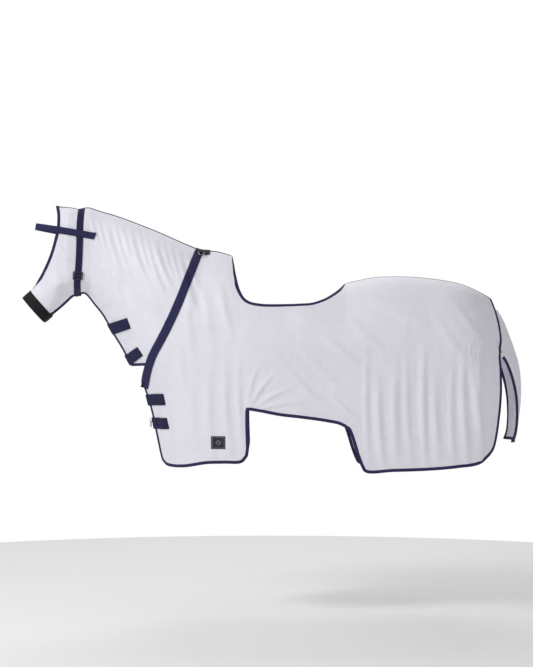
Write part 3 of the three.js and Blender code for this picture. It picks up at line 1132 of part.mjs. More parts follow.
const withers = asGrid(WITHER_PATCH.map((x) => WITHER_REACH.map((y) => onWithers(x, y))));
const witherSmooth = withNormals(withers.p, () => vec(0, 0, 1));
const WITHER_LAYER = LAYER_2.map((height) => height + 3 * CUT_GAP);
add('wither_strap', slab(witherSmooth, WITHER_LAYER), BLACK_WEB());

// A ring hangs in a folded keeper of webbing. down is the way the keeper points, out the way it faces, and
// hang and face are the ring's own.
const KEEPER_WIDTH = 11;
const KEEPER_INSIDE = RING_WIRE + 1.6;
const KEEPER_LENGTH = 16;
function ringAndKeeper(name, top, down, out, [hang, face] = [down, out]) {
  const along = down.clone().cross(out).normalize();
  const at = (u, v) => top.clone().addScaledVector(down, u).addScaledVector(out, v);
  const radius = KEEPER_INSIDE + TAPE / 2;
  const turn = spread(8).map((t) => -Math.PI / 2 + t * Math.PI)
    .map((a) => at(radius * Math.cos(a), radius * Math.sin(a)));
  const path = [at(-KEEPER_LENGTH, -radius), ...turn, at(-KEEPER_LENGTH, radius)];
  const rows = path.map((point) => [-0.5, 0.5].map((s) => point.clone().addScaledVector(along, s * KEEPER_WIDTH)));
  const middle = at(-KEEPER_LENGTH / 2, 0);
  add(`${name}_keeper`, slab(withNormals(rows, (point) => point.clone().sub(middle)), [-TAPE / 2, TAPE / 2]),
    BLACK_WEB());
  const ring = add(`${name}_ring`, new THREE.TorusGeometry(RING_RADIUS, RING_WIRE, 8, 24), STEEL());
  ring.quaternion.setFromRotationMatrix(new THREE.Matrix4().makeBasis(along, hang, face));
  ring.position.copy(top).addScaledVector(hang, RING_RADIUS);
}

const witherEdge = onWithers(-8, -46);
const witherDown = witherEdge.p.clone().sub(onWithers(-8, -30).p).normalize();
const witherOutwards = witherEdge.n.clone().addScaledVector(witherDown, -witherEdge.n.dot(witherDown)).normalize();
const KEEPER_RISE = WITHER_LAYER[1] + KEEPER_INSIDE + TAPE + 1.2;
ringAndKeeper('wither', witherEdge.p.clone().addScaledVector(witherOutwards, KEEPER_RISE)
  .addScaledVector(witherDown, 2), witherDown, witherOutwards);

// The chest ring's keeper is sewn to the front of the lower chest tab's turn.
const chestDown = vec(0.2, 0, -0.98).normalize();
const chestOut = vec(-0.98, 0, -0.2).normalize();
const CHEST_SEAT = TAPE / 2 + TOUCH_GAP + TAPE + KEEPER_INSIDE;
const chestTurn = turns.chest_tab_lower;
const chestTop = vec(chestTurn.x, 0, chestTurn.z).addScaledVector(chestDown, -KEEPER_LENGTH / 2)
  .addScaledVector(chestOut, CHEST_SEAT);
ringAndKeeper('chest', chestTop, chestDown, chestOut, [vec(0, 0, -1), vec(-1, 0, 0)]);

export default sheet;
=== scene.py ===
"""Fly sheet for riding, as a Blender add-on: cloth, tapes, closures, fittings and the studio round them.

Every surface is worked out with numpy in millimetres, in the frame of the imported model: X to the tail, Y to
the horse's off side, Z up, with the origin at the top of the withers. Meshes are written in metres.
"""

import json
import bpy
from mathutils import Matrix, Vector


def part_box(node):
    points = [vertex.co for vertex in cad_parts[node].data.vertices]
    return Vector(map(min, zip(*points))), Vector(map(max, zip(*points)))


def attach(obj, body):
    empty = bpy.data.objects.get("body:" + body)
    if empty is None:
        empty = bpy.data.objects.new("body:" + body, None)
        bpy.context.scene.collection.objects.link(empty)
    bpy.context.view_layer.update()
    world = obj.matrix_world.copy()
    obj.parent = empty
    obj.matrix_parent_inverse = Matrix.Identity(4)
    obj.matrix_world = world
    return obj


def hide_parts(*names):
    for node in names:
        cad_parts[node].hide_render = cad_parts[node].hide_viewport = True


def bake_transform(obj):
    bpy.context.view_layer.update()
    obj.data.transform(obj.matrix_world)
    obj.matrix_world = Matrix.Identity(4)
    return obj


bl_info = {
    "name": "Riding Fly Sheet",
    "version": (1, 0, 0),
    "blender": (4, 5, 0),
    "location": "View3D > Sidebar > Fly Sheet",
    "description": "Builds a mesh fly sheet with neck and head part round its packed model",
    "category": "Add Mesh",
}

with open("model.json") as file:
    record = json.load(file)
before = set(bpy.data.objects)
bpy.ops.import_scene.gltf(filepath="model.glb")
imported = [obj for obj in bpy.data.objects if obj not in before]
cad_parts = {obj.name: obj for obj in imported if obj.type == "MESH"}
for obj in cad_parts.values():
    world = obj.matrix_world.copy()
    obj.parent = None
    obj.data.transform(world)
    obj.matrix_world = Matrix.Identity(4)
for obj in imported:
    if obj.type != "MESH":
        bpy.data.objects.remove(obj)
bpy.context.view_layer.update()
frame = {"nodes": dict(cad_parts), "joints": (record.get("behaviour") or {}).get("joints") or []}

import bmesh
import bpy
import numpy as np
from mathutils import Vector

JOINTS = {joint["name"]: joint for joint in frame["joints"]}
MM = 0.001
SIDES = (("near", -1), ("off", 1))

# ---- side-view lines of the sheet, as (x, z) in millimetres ------------------------------------------------
CREST = [(-544, 193), (-517, 198), (-463, 182), (-373, 155), (-283, 121), (-193, 85), (-103, 45), (-27, 13), (-14, 8)]
POLL_TOP = [(-660, 206), (-643, 202), (-598, 198), (-558, 191), (-544, 193)]
WITHERS = [(-14, 8), (0, 5), (54, 2), (99, -9), (131, -20)]
UNDER_SADDLE = [(131, -20), (220, -62), (340, -112), (470, -136), (639, -144)]
RUMP = [(639, -144), (698, -131), (770, -117), (860, -113), (1022, -122), (1166, -149), (1238, -180), (1296, -212)]
TAIL_LINE = [(1296, -212), (1350, -306), (1382, -387), (1418, -495), (1427, -599), (1422, -689), (1409, -779),
             (1400, -900)]
JAW = [(-700, -306), (-680, -289), (-640, -250), (-608, -221), (-586, -201), (-563, -190)]
UNDER_NECK = [(-563, -190), (-531, -188), (-486, -239), (-450, -284), (-405, -365), (-364, -432), (-340, -477),
              (-310, -531), (-262, -612)]
CHEST = [(-262, -612), (-247, -655), (-229, -720), (-207, -824), (-190, -905), (-182, -935)]
FACE_FRONT = [(-660, 206), (-720, 160), (-751, 119), (-775, 50), (-795, -60), (-792, -187), (-800, -230)]
FACE_OPENING = [(-660, 206), (-648, 165), (-646, 100), (-654, 64), (-676, -12), (-712, -92), (-739, -130)]
NECKLINE = [(-14, 8), (-25, -24), (-54, -108), (-96, -222), (-135, -310), (-178, -394), (-222, -474), (-246, -542),
            (-262, -612)]
THROAT = [(-544, 193), (-546, 120), (-547, 20), (-552, -80), (-558, -140), (-563, -190)]
OPENING_FRONT = [(131, -20), (136, -48), (146, -105), (166, -175), (200, -222), (260, -238), (345, -240)]
OPENING_REAR = [(345, -240), (420, -238), (486, -233), (540, -215), (585, -190), (618, -165), (639, -144)]
SHOULDER_HEM = [(-182, -935), (-160, -956), (-87, -958), (18, -938), (100, -934), (178, -930), (203, -902)]
NOTCH_FRONT = [(203, -902), (208, -870), (207, -830), (205, -766), (205, -700)]
NOTCH_TOP = [(205, -700), (260, -709), (345, -725), (432, -735), (540, -750), (606, -764), (644, -786)]
QUARTER_FRONT = [(644, -786), (660, -830), (680, -896), (696, -940)]
QUARTER_HEM = [(696, -940), (716, -970), (843, -968), (1000, -963), (1120, -953), (1217, -938), (1262, -905)]
REAR_EDGE = [(1296, -212), (1310, -260), (1322, -330), (1326, -396), (1317, -449), (1321, -537), (1322, -616),
             (1316, -710), (1306, -790), (1298, -834), (1284, -876), (1262, -905)]
NECK_CUT = (-322, -512)
NECK_END = 0.84
NECKLINE_SHARE = 0.66

# ---- half-widths of the horse under the sheet and how it rounds over, by x ---------------------------------
HALF_WIDTH = [(-800, 60), (-742, 70), (-700, 84), (-650, 96), (-600, 98), (-545, 88), (-500, 84), (-450, 88),
              (-400, 98), (-350, 115), (-300, 135), (-250, 156), (-200, 178), (-100, 212), (0, 240), (100, 262),
              (200, 282), (330, 297), (450, 300), (700, 300), (900, 290), (1100, 275), (1200, 262), (1300, 242),
              (1430, 230)]
TOP_ROUND = [(-800, 110), (-650, 120), (-550, 130), (-450, 170), (-300, 240), (-150, 300), (0, 340), (200, 350),
             (700, 320), (1000, 300), (1200, 260), (1430, 240)]
TOP_POWER = [(-700, 2), (-400, 1.8), (-200, 1.6), (0, 1.45), (200, 1.7), (450, 2), (1430, 2)]
UNDER_ROUND = [(-800, 90), (-620, 85), (-550, 62), (-500, 80), (-400, 110), (-260, 170), (-200, 200), (1430, 200)]
FRONT_EDGE_Y = 15.0
FACE_ROUND = 90.0
REAR_ROUND = 250.0
NOSE_TOP = np.array([-724.0, -229.0])
HEAD_AXIS = np.array([-0.75, -0.661])
NOSE_ACROSS = np.array([0.661, -0.75])
NOSE_HALF_HEIGHT = 75.0
NOSE_HALF_WIDTH = 64.0
NOSE_BLEND = 120.0
NOSE_POWER = 2.4

# ---- heights of the middles of laid pieces above the cloth, in millimetres ----
LIFTS = {"top_tape": 2.0, "neckline_tape": 3.0, "throat_strap": 2.8, "wither_webbing": 5.6, "label": 1.5,
         "tab": 3.6, "tab_off_side": 3.0, "tab_hook": 2.35, "tab_loop": 1.4, "brow_hook": 2.4, "brow_loop": 1.3,
         "bar_tack": 3.1, "flank_elastic": -1.6}
WEBBING = 1.5  # thickness of webbing
TOUCH_TAPE = 0.8  # thickness of hook and loop tape


def sizes():
    """The size settings in the panel."""
    return bpy.context.scene.fly_sheet_sizes


# ---- lines and tables --------------------------------------------------------------------------------------
def table(pairs, x):
    """Straight interpolation in a table of (place, value) pairs."""
    pairs = np.asarray(pairs, float)
    return np.interp(x, pairs[:, 0], pairs[:, 1])


def curve(points, samples=24):
    """A function of share t of its length: the centripetal Catmull-Rom line through points of any dimension.

    Each span is the cubic Hermite with tangents from its neighbours, weighted by the root of the distances.
    """
    p = np.asarray(points, float)
    p = np.vstack([2 * p[0] - p[1], p, 2 * p[-1] - p[-2]])
    gap = np.sqrt(np.linalg.norm(np.diff(p, axis=0), axis=1))[:, None]
    g0, g1, g2 = gap[:-2], gap[1:-1], gap[2:]
    p0, p1, p2, p3 = p[:-3], p[1:-2], p[2:-1], p[3:]
    m1 = g1 * ((p1 - p0) / g0 - (p2 - p0) / (g0 + g1) + (p2 - p1) / g1)
    m2 = g1 * ((p2 - p1) / g1 - (p3 - p1) / (g1 + g2) + (p3 - p2) / g2)
    t = np.linspace(0, 1, samples, endpoint=False)[None, :, None]
    span = ((2 * t ** 3 - 3 * t ** 2 + 1) * p1[:, None] + (t ** 3 - 2 * t ** 2 + t) * m1[:, None]
            + (3 * t ** 2 - 2 * t ** 3) * p2[:, None] + (t ** 3 - t ** 2) * m2[:, None])
    dense = np.vstack([span.reshape(-1, p.shape[1]), p[-2]])
    length = np.concatenate([[0], np.cumsum(np.linalg.norm(np.diff(dense, axis=0), axis=1))])
    share = length / length[-1]

    def at(t):
        t = np.asarray(t, float)
        return np.stack([np.interp(t, share, dense[:, k]) for k in range(dense.shape[1])], axis=-1)

    at.length = length[-1]
    return at


def joined(curves, knots):
    """Lines laid end to end; knots are the parameters where each hands over to the next."""
    ends = [0.0, *knots, 1.0]

    def at(t):
        t = np.asarray(t, float)
        out = np.zeros(t.shape + (2,))
        for k, line in enumerate(curves):
            here = (t >= ends[k]) & ((t <= ends[k + 1]) if k == len(curves) - 1 else (t < ends[k + 1]))
            out[here] = line((t[here] - ends[k]) / (ends[k + 1] - ends[k]))
        return out

    return at


def part(line, start, stop):
    """The stretch of a line between two of its parameters."""
    return lambda t: line(start + (stop - start) * np.asarray(t, float))


poll_top, crest_top, wither_top = curve(POLL_TOP), curve(CREST), curve(WITHERS)
saddle_top, rump_top = curve(UNDER_SADDLE), curve(RUMP)
neckline, throat, chest = curve(NECKLINE), curve(THROAT), curve(CHEST)
TOP = np.vstack([line(np.linspace(0, 1, 80)) for line in (poll_top, crest_top, wither_top, saddle_top, rump_top)])
TOP = TOP[np.argsort(TOP[:, 0], kind="stable")]
UNDER_LINE = JAW + UNDER_NECK[1:] + CHEST[1:] + [(-170, -1100)]


def topline(x):
    """Height of the top line over the back at x."""
    return np.interp(x, TOP[:, 0], TOP[:, 1])


def away(points, x, z):
    """Least distance in the side view from places (x, z) to a line of straight pieces."""
    p = np.asarray(points, float)
    a, d = p[:-1], np.diff(p, axis=0)
    px, pz = x[..., None] - a[:, 0], z[..., None] - a[:, 1]
    t = np.clip((px * d[:, 0] + pz * d[:, 1]) / (d ** 2).sum(1), 0, 1)
    return np.sqrt((px - t * d[:, 0]) ** 2 + (pz - t * d[:, 1]) ** 2).min(-1)


def half_width(x, z):
    """Half the horse's width: a product of rounded sections away from the top, tail, face and under lines.

    Each section is (1 - (1 - q)^n)^(1/n), with q the share of its rounding radius. At the nose it passes over
    into the super-ellipse of the nose band.
    """
    x, z = np.broadcast_arrays(np.asarray(x, float), np.asarray(z, float))
    q = np.clip((topline(x) - z) / table(TOP_ROUND, x), 0, 1)
    power = table(TOP_POWER, x)
    top = (1 - (1 - q) ** power) ** (1 / power)
    round_over = lambda share: np.sqrt(1 - (1 - np.clip(share, 0, 1)) ** 2)
    rear = np.where(x > 1000, round_over(away(TAIL_LINE, x, z) / REAR_ROUND), 1.0)
    under = np.where(x < 100, np.sin(np.clip(away(UNDER_LINE, x, z) / table(UNDER_ROUND, x), 0, 1) * np.pi / 2), 1.0)
    face = np.where(x < -500, round_over(away(FACE_FRONT, x, z) / FACE_ROUND), 1.0)
    width = top * rear * face * (FRONT_EDGE_Y + (table(HALF_WIDTH, x) - FRONT_EDGE_Y) * under)
    along = (x - NOSE_TOP[0]) * HEAD_AXIS[0] + (z - NOSE_TOP[1]) * HEAD_AXIS[1]
    across = (x - NOSE_TOP[0]) * NOSE_ACROSS[0] + (z - NOSE_TOP[1]) * NOSE_ACROSS[1]
    k = np.clip(1 + along / NOSE_BLEND, 0, 1)
    k = np.where(x > -540, 0, k * k * (3 - 2 * k))
    share = np.clip(np.abs(across) / NOSE_HALF_HEIGHT, 0, 1)
    nose = NOSE_HALF_WIDTH * (1 - share ** NOSE_POWER) ** (1 / NOSE_POWER) - 2.5
    return width + (nose - width) * k


# ---- folds -------------------------------------------------------------------------------------------------
def fold_table():
    """Rows of (x0, z0, x1, z1, width, height): each is one soft ridge along a straight line in the side view."""
    rows = []
    for k in range(13):  # neck: slanting folds from the crest down to the under edge
        x = -505 + 36 * k
        z = float(topline(x)) - 34 - 10 * (k % 3)
        rows.append((x, z, x + 92 + 7 * (k % 4), z - 215 - 34 * ((k * 5) % 4),
                     12 + 3 * (k % 3), 1.9 + 0.9 * ((k * 7) % 3)))
    rows += [(-330, -150, -230, -400, 20, 3.2), (-390, -90, -300, -360, 16, 2.4), (-250, -130, -150, -330, 22, 3.0)]
    rows += [(-640, 30, -560, -60, 11, 1.8), (-680, -60, -585, -120, 10, 1.6), (-690, -120, -600, -170, 9, 1.4),
             (-630, 120, -560, 90, 10, 1.2)]
    # shoulder: from the neckline down, and hanging folds above the hem
    rows += [(-60, -190, -30, -520, 24, 3.4), (10, -120, 60, -470, 28, 3.2), (80, -140, 150, -420, 24, 2.8),
             (-150, -420, -130, -760, 22, 3.8), (-90, -400, -60, -800, 26, 3.2), (-175, -560, -160, -900, 16, 3.2),
             (-110, -620, -105, -950, 22, 4.2), (-40, -560, -30, -940, 26, 3.8), (35, -520, 50, -930, 24, 4.0),
             (105, -480, 130, -925, 22, 3.8), (165, -430, 185, -900, 18, 3.0)]
    # fan from the notch's front corner, and long drapes behind the saddle
    rows += [(207, -690, 250, -500, 12, 3.2), (212, -694, 320, -540, 13, 3.6), (220, -700, 400, -600, 13, 3.0),
             (230, -704, 470, -660, 12, 2.4), (330, -470, 560, -700, 20, 3.4), (420, -420, 650, -640, 22, 3.0),
             (520, -360, 760, -560, 24, 3.2), (640, -300, 860, -480, 26, 2.8), (560, -620, 700, -760, 18, 2.8),
             (430, -300, 700, -330, 26, 2.4), (690, -190, 960, -250, 30, 2.0), (760, -240, 1050, -330, 32, 2.4)]
    for k in range(9):  # quarters: hanging folds, deeper towards the hem
        x = 722 + 62 * k
        rows.append((x - 14 * (k % 2), -420 - 45 * ((k * 3) % 4), x + 10, -955,
                     19 + 3 * (k % 3), 2.8 + 1.1 * ((k * 5) % 3)))
    rows += [(1010, -260, 1180, -520, 26, 2.2), (1100, -210, 1250, -420, 24, 2.2), (1180, -480, 1240, -880, 20, 3.0)]
    for k in range(8):  # gathers above and below the flank elastic
        x = 1192 + 14 * k
        rows.append((x - 12 + 3 * k, -385 + 5 * (k % 3), x + 2, -520 - 9 * (k % 3), 3.6, 2.0))
    return np.array(rows, float)


FOLDS = fold_table()
OFF_SIDE_SHIFT = 17.0


def folds(x, z, side):
    """Height of the cloth over the horse: exp(-(d/w)^2) cos(1.5 d/w) across each fold, sin along it, plus waves."""
    shift, depth = 0.0 if side < 0 else OFF_SIDE_SHIFT, sizes().fold_depth
    out = np.zeros(np.shape(x))
    for x0, z0, x1, z1, width, height in FOLDS:
        dx, dz = x1 - x0, z1 - z0
        length = np.hypot(dx, dz)
        t = ((x - shift - x0) * dx + (z - z0) * dz) / length ** 2
        bow = 9 * np.sin(np.pi * np.clip(t, 0, 1)) * np.sign(dx * dz + 1)
        d = ((x - shift - x0) * dz - (z - z0) * dx) / length + bow
        run = np.sin(np.pi * np.clip((t + 0.08) / 1.16, 0, 1)) ** 1.2
        out += depth * height * run * np.exp(-(d / width) ** 2) * np.cos(1.5 * d / width)
    low = np.clip((-300 - z) / 600, 0, 1)
    out += 1.3 * low * np.sin(x / 31 + 0.8 * np.sin(z / 140) + side)
    out += 0.55 * np.sin(x / 47 + z / 90 + 2 * side) * np.sin(z / 61 - x / 130)
    out += 0.28 * np.sin(x / 13 + 1.7 * np.sin(z / 53)) * np.sin(z / 17 + 1.3 * np.sin(x / 41))
    return out


def skin(x, z, side, lift=0.0):
    """Points and normals on the cloth at side-view places, a height of lift above it.

    The normal is the gradient of |y| - half_width(x, z), eased to straight up at the top line.
    """
    x, z = np.broadcast_arrays(np.asarray(x, float), np.asarray(z, float))
    step = 3.0
    w = half_width(x, z)
    gx = -(half_width(x + step, z) - half_width(x - step, z)) / (2 * step)
    gz = -(half_width(x, z + step) - half_width(x, z - step)) / (2 * step)
    ny = side * np.clip(w / 10, 0, 1)
    gz = np.where(w < 10, np.maximum(gz, 1), gz)
    n = np.stack([gx, ny * np.ones_like(gx), gz], -1)
    n /= np.linalg.norm(n, axis=-1, keepdims=True)
    raise_by = folds(x, z, side) * np.clip(w / 45, 0, 1) + lift
    p = np.stack([x, side * w, z], -1) + n * raise_by[..., None]
    return p, n


def below_top(x, y):
    """Height at which the half-width reaches |y|, by halving."""
    x, y = np.broadcast_arrays(np.asarray(x, float), np.abs(np.asarray(y, float)))
    low, high = np.zeros(x.shape), np.full(x.shape, 110.0)
    for _ in range(30):
        middle = (low + high) / 2
        wide = half_width(x, topline(x) - middle) > y
        high, low = np.where(wide, middle, high), np.where(wide, low, middle)
    return topline(x) - low


def over_top(x, y, lift=0.0):
    """Points and normals near the top line, at distances y across it."""
    x, y = np.broadcast_arrays(np.asarray(x, float), np.asarray(y, float))
    near, normal_near = skin(x, below_top(x, y), -1, lift)
    off, normal_off = skin(x, below_top(x, y), 1, lift)
    left = (y < 0)[..., None]
    p, n = np.where(left, near, off), np.where(left, normal_near, normal_off)
    middle = (np.abs(y) < 0.5)[..., None]
    n = np.where(middle, [0, 0, 1], n)
    p = np.where(middle, np.stack([x, 0 * x, topline(x) + lift], -1), p)
    return p, n


# ---- meshes ------------------------------------------------------------------------------------------------
def unit(v):
    """Vectors scaled to length one."""
    return v / np.maximum(np.linalg.norm(v, axis=-1, keepdims=True), 1e-9)


def grid_normals(p):
    """Unit normals of a grid of points: across-difference crossed with down-difference."""
    return unit(np.cross(np.gradient(p, axis=0), np.gradient(p, axis=1)))


def mesh_object(name, p, uv, wrap=False, loop=False, caps=False, closed=False):
    """A mesh from a grid of points in millimetres; wrap joins its last column to its first, loop its rows.

    uv has one more column than p where it wraps, so that the pattern has no seam fault.
    """
    rows, cols = p.shape[:2]
    r = np.arange(rows if loop else rows - 1)
    c = np.arange(cols if wrap else cols - 1)
    rr, cc = np.meshgrid(r, c, indexing="ij")
    r1, c1 = (rr + 1) % rows, (cc + 1) % cols
    quads = np.stack([rr * cols + cc, rr * cols + c1, r1 * cols + c1, r1 * cols + cc], -1).reshape(-1, 4)
    uc = uv.shape[1]
    u1 = np.minimum(rr + 1, uv.shape[0] - 1)
    corners = np.stack([rr * uc + cc, rr * uc + cc + 1, u1 * uc + cc + 1, u1 * uc + cc], -1).reshape(-1)
    loops_uv = uv.reshape(-1, 2)[corners]
    faces = quads.tolist()
    if caps:
        faces += [list(range(cols))[::-1], list(range((rows - 1) * cols, rows * cols))]
        loops_uv = np.vstack([loops_uv, np.zeros((2 * cols, 2))])
    mesh = bpy.data.meshes.new(name)
    mesh.from_pydata((p.reshape(-1, 3) * MM).tolist(), [], faces)
    layer = mesh.uv_layers.new(name="UVMap")
    layer.data.foreach_set("uv", loops_uv.ravel().astype(np.float32))
    if closed:
        solid = bmesh.new()
        solid.from_mesh(mesh)
        bmesh.ops.recalc_face_normals(solid, faces=solid.faces)
        solid.to_mesh(mesh)
        solid.free()
    mesh.polygons.foreach_set("use_smooth", np.ones(len(mesh.polygons), bool))
    mesh.update()
    obj = bpy.data.objects.new(name, mesh)
    bpy.context.scene.collection.objects.link(obj)
    return obj


def arc(p, axis=0):
    """Length run so far along an axis of a grid of points, in metres."""
    steps = np.linalg.norm(np.diff(p, axis=axis), axis=-1)
    pad = [(0, 0)] * steps.ndim
    pad[axis] = (1, 0)
    return np.cumsum(np.pad(steps, pad), axis=axis) * MM


def add_wall(obj, thickness):
    """Gives a single skin its two faces, half the thickness to each side."""
    wall = obj.modifiers.new("Wall", "SOLIDIFY")
    wall.thickness = thickness
    wall.offset = 0


def cloth_object(name, p, side, material):
    """A panel: the grid as a single skin facing out, with a wall from Solidify."""
    uv = np.stack([arc(p, 1), arc(p, 0)], -1)
    facing = (grid_normals(p)[..., 1] * side).sum()
    if facing > 0:
        p, uv = p[:, ::-1], uv[:, ::-1]
    obj = mesh_object(name, p, uv)
    add_wall(obj, sizes().cloth_wall)
    obj.data.materials.append(material)
    return obj


def band_object(name, p, n, thickness, material, loop=False, edge=0.45):
    """A strap from a grid of middle points and normals: a closed section with thinner edges, capped at its ends."""
    cols = p.shape[1]
    taper = np.ones(cols)
    taper[[0, -1]] = edge
    half = n * (thickness / 2 * taper)[None, :, None]
    section = np.concatenate([p + half, (p - half)[:, ::-1]], axis=1)
    run = arc(p[:, cols // 2][:, None], 0)
    across = np.concatenate([np.linspace(0, 1, cols), np.linspace(1, 0, cols), [0.0]])
    uv = np.stack([np.repeat(run, 2 * cols + 1, axis=1), np.tile(across, (len(p), 1))], -1)
    if loop:
        uv = np.concatenate([uv, uv[:1] + [float(run[-1, 0]), 0]], axis=0)
    obj = mesh_object(name, section, uv, wrap=True, loop=loop, caps=not loop, closed=True)
    obj.data.materials.append(material)
    return obj


BINDING_SECTION = np.array([(12, 1.0), (11.6, 1.7), (7, 1.9), (2, 2.2), (-0.4, 1.9), (-1.7, 0.9), (-1.9, 0),
                            (-1.7, -0.9), (-0.4, -1.9), (2, -2.2), (7, -1.9), (11.6, -1.7), (12, -1.0)])


def smoothed(v, passes=2, loop=False):
    """Vectors averaged with their neighbours along the first axis, a number of times."""
    for _ in range(passes):
        pad = np.concatenate([v[-1:], v, v[:1]]) if loop else np.concatenate([v[:1], v, v[-1:]])
        v = (pad[:-2] + pad[1:-1] * 2 + pad[2:]) / 4
    return v


def binding_object(name, edge, inner, normal, material, loop=False, step=7.0):
    """Binding folded over an edge: one section carried along it, turned inwards and square to the cloth."""
    length = np.concatenate([[0], np.cumsum(np.linalg.norm(np.diff(edge, axis=0), axis=1))])
    count = max(8, int(length[-1] / step))
    at = np.linspace(0, length[-1], count, endpoint=not loop)
    pick = lambda v: np.stack([np.interp(at, length, v[:, k]) for k in range(3)], -1)
    edge, inner, normal = pick(edge), pick(inner), pick(normal)
    tangent = unit(np.gradient(edge, axis=0))
    inwards = inner - edge
    inwards = unit(inwards - (inwards * tangent).sum(-1, keepdims=True) * tangent)
    inwards = unit(smoothed(inwards, 3, loop))
    normal = normal - (normal * tangent).sum(-1, keepdims=True) * tangent
    normal = unit(smoothed(unit(normal - (normal * inwards).sum(-1, keepdims=True) * inwards), 3, loop))
    b, c = BINDING_SECTION[:, 0], BINDING_SECTION[:, 1]
    p = edge[:, None] + inwards[:, None] * b[None, :, None] + normal[:, None] * c[None, :, None]
    run = arc(edge[:, None], 0)
    cols = len(b)
    across = np.concatenate([np.linspace(0, 1, cols), [1.0]])
    uv = np.stack([np.repeat(run, cols + 1, axis=1), np.tile(across, (count, 1))], -1)
    if loop:
        uv = np.concatenate([uv, uv[:1] + [float(run[-1, 0]), 0]], axis=0)
    obj = mesh_object(name, p, uv, wrap=True, loop=loop, caps=not loop, closed=True)
    obj.data.materials.append(material)
    return obj


# ---- shader groups -----------------------------------------------------------------------------------------
def linear(rgb):
    """A colour in 0 to 255 as linear light, with alpha."""
    c = np.array(rgb, float) / 255
    c = np.where(c <= 0.04045, c / 12.92, ((c + 0.055) / 1.055) ** 2.4)
    return (*[float(v) for v in c], 1.0)


def new_group(name, inputs, outputs):
    """An empty shader node group with named float, vector or colour sockets."""
    tree = bpy.data.node_groups.new(name, "ShaderNodeTree")
    for kind, names in (("INPUT", inputs), ("OUTPUT", outputs)):
        for label, (socket, default) in names.items():
            made = tree.interface.new_socket(name=label, in_out=kind, socket_type=socket)
            if default is not None:
                made.default_value = default
    return tree, tree.nodes.new("NodeGroupInput"), tree.nodes.new("NodeGroupOutput")


def math_node(tree, operation, a, b=None, clamp=False):
    """A Math node fed by sockets or numbers; returns its output."""
    node = tree.nodes.new("ShaderNodeMath")
    node.operation = operation
    node.use_clamp = clamp
    for socket, value in zip(node.inputs, (a, b)):
        if value is None:
            continue
        if isinstance(value, (int, float)):
            socket.default_value = value
        else:
            tree.links.new(value, socket)
    return node.outputs[0]


FLOAT, VECTOR, COLOR = "NodeSocketFloat", "NodeSocketVector", "NodeSocketColor"


def weave_group():
    """Knit or weave: |sin| of both directions at Pitch metres. Height is the larger; Hole is where both are low."""
    tree, source, sink = new_group("Weave", {"Vector": (VECTOR, None), "Pitch": (FLOAT, 0.002)},
                                   {"Height": (FLOAT, None), "Hole": (FLOAT, None)})
    split = tree.nodes.new("ShaderNodeSeparateXYZ")
    tree.links.new(source.outputs["Vector"], split.inputs[0])
    waves = []
    for axis in (0, 1):
        turns = math_node(tree, "DIVIDE", split.outputs[axis], source.outputs["Pitch"])
        waves.append(math_node(tree, "ABSOLUTE", math_node(tree, "SINE", math_node(tree, "MULTIPLY", turns, np.pi))))
    high = math_node(tree, "MAXIMUM", *waves)
    tree.links.new(high, sink.inputs["Height"])
    hole = math_node(tree, "LESS_THAN", high, 0.55)
    tree.links.new(hole, sink.inputs["Hole"])
    return tree


def ribs_group():
    """Webbing: ribs of Pitch metres along, crossed by a finer herringbone; Height follows both."""
    tree, source, sink = new_group("Ribs", {"Vector": (VECTOR, None), "Pitch": (FLOAT, 0.0022)},
                                   {"Height": (FLOAT, None)})
    split = tree.nodes.new("ShaderNodeSeparateXYZ")
    tree.links.new(source.outputs["Vector"], split.inputs[0])
    turns = math_node(tree, "DIVIDE", split.outputs[0], source.outputs["Pitch"])
    rib = math_node(tree, "ABSOLUTE", math_node(tree, "SINE", math_node(tree, "MULTIPLY", turns, np.pi)))
    slant = math_node(tree, "MULTIPLY", math_node(tree, "PINGPONG", split.outputs[1], 0.125), 8.0)
    cross = math_node(tree, "SINE", math_node(tree, "MULTIPLY", math_node(tree, "ADD", turns, slant), 2 * np.pi))
    height = math_node(tree, "ADD", rib, math_node(tree, "MULTIPLY", cross, 0.25))
    tree.links.new(height, sink.inputs["Height"])
    return tree


def stitch_group():
    """Two rows of stitches at Inset from both edges: dashes of Length metres where V is near the row."""
    tree, source, sink = new_group(
        "Stitches", {"Vector": (VECTOR, None), "Inset": (FLOAT, 0.1), "Length": (FLOAT, 0.0035)},
        {"Mask": (FLOAT, None)})
    split = tree.nodes.new("ShaderNodeSeparateXYZ")
    tree.links.new(source.outputs["Vector"], split.inputs[0])
    fold = math_node(tree, "PINGPONG", split.outputs[1], 0.5)
    near = math_node(tree, "LESS_THAN",
                     math_node(tree, "ABSOLUTE", math_node(tree, "SUBTRACT", fold, source.outputs["Inset"])), 0.022)
    turns = math_node(tree, "FRACT", math_node(tree, "DIVIDE", split.outputs[0], source.outputs["Length"]))
    dash = math_node(tree, "LESS_THAN", turns, 0.72)
    tree.links.new(math_node(tree, "MULTIPLY", near, dash), sink.inputs["Mask"])
    return tree


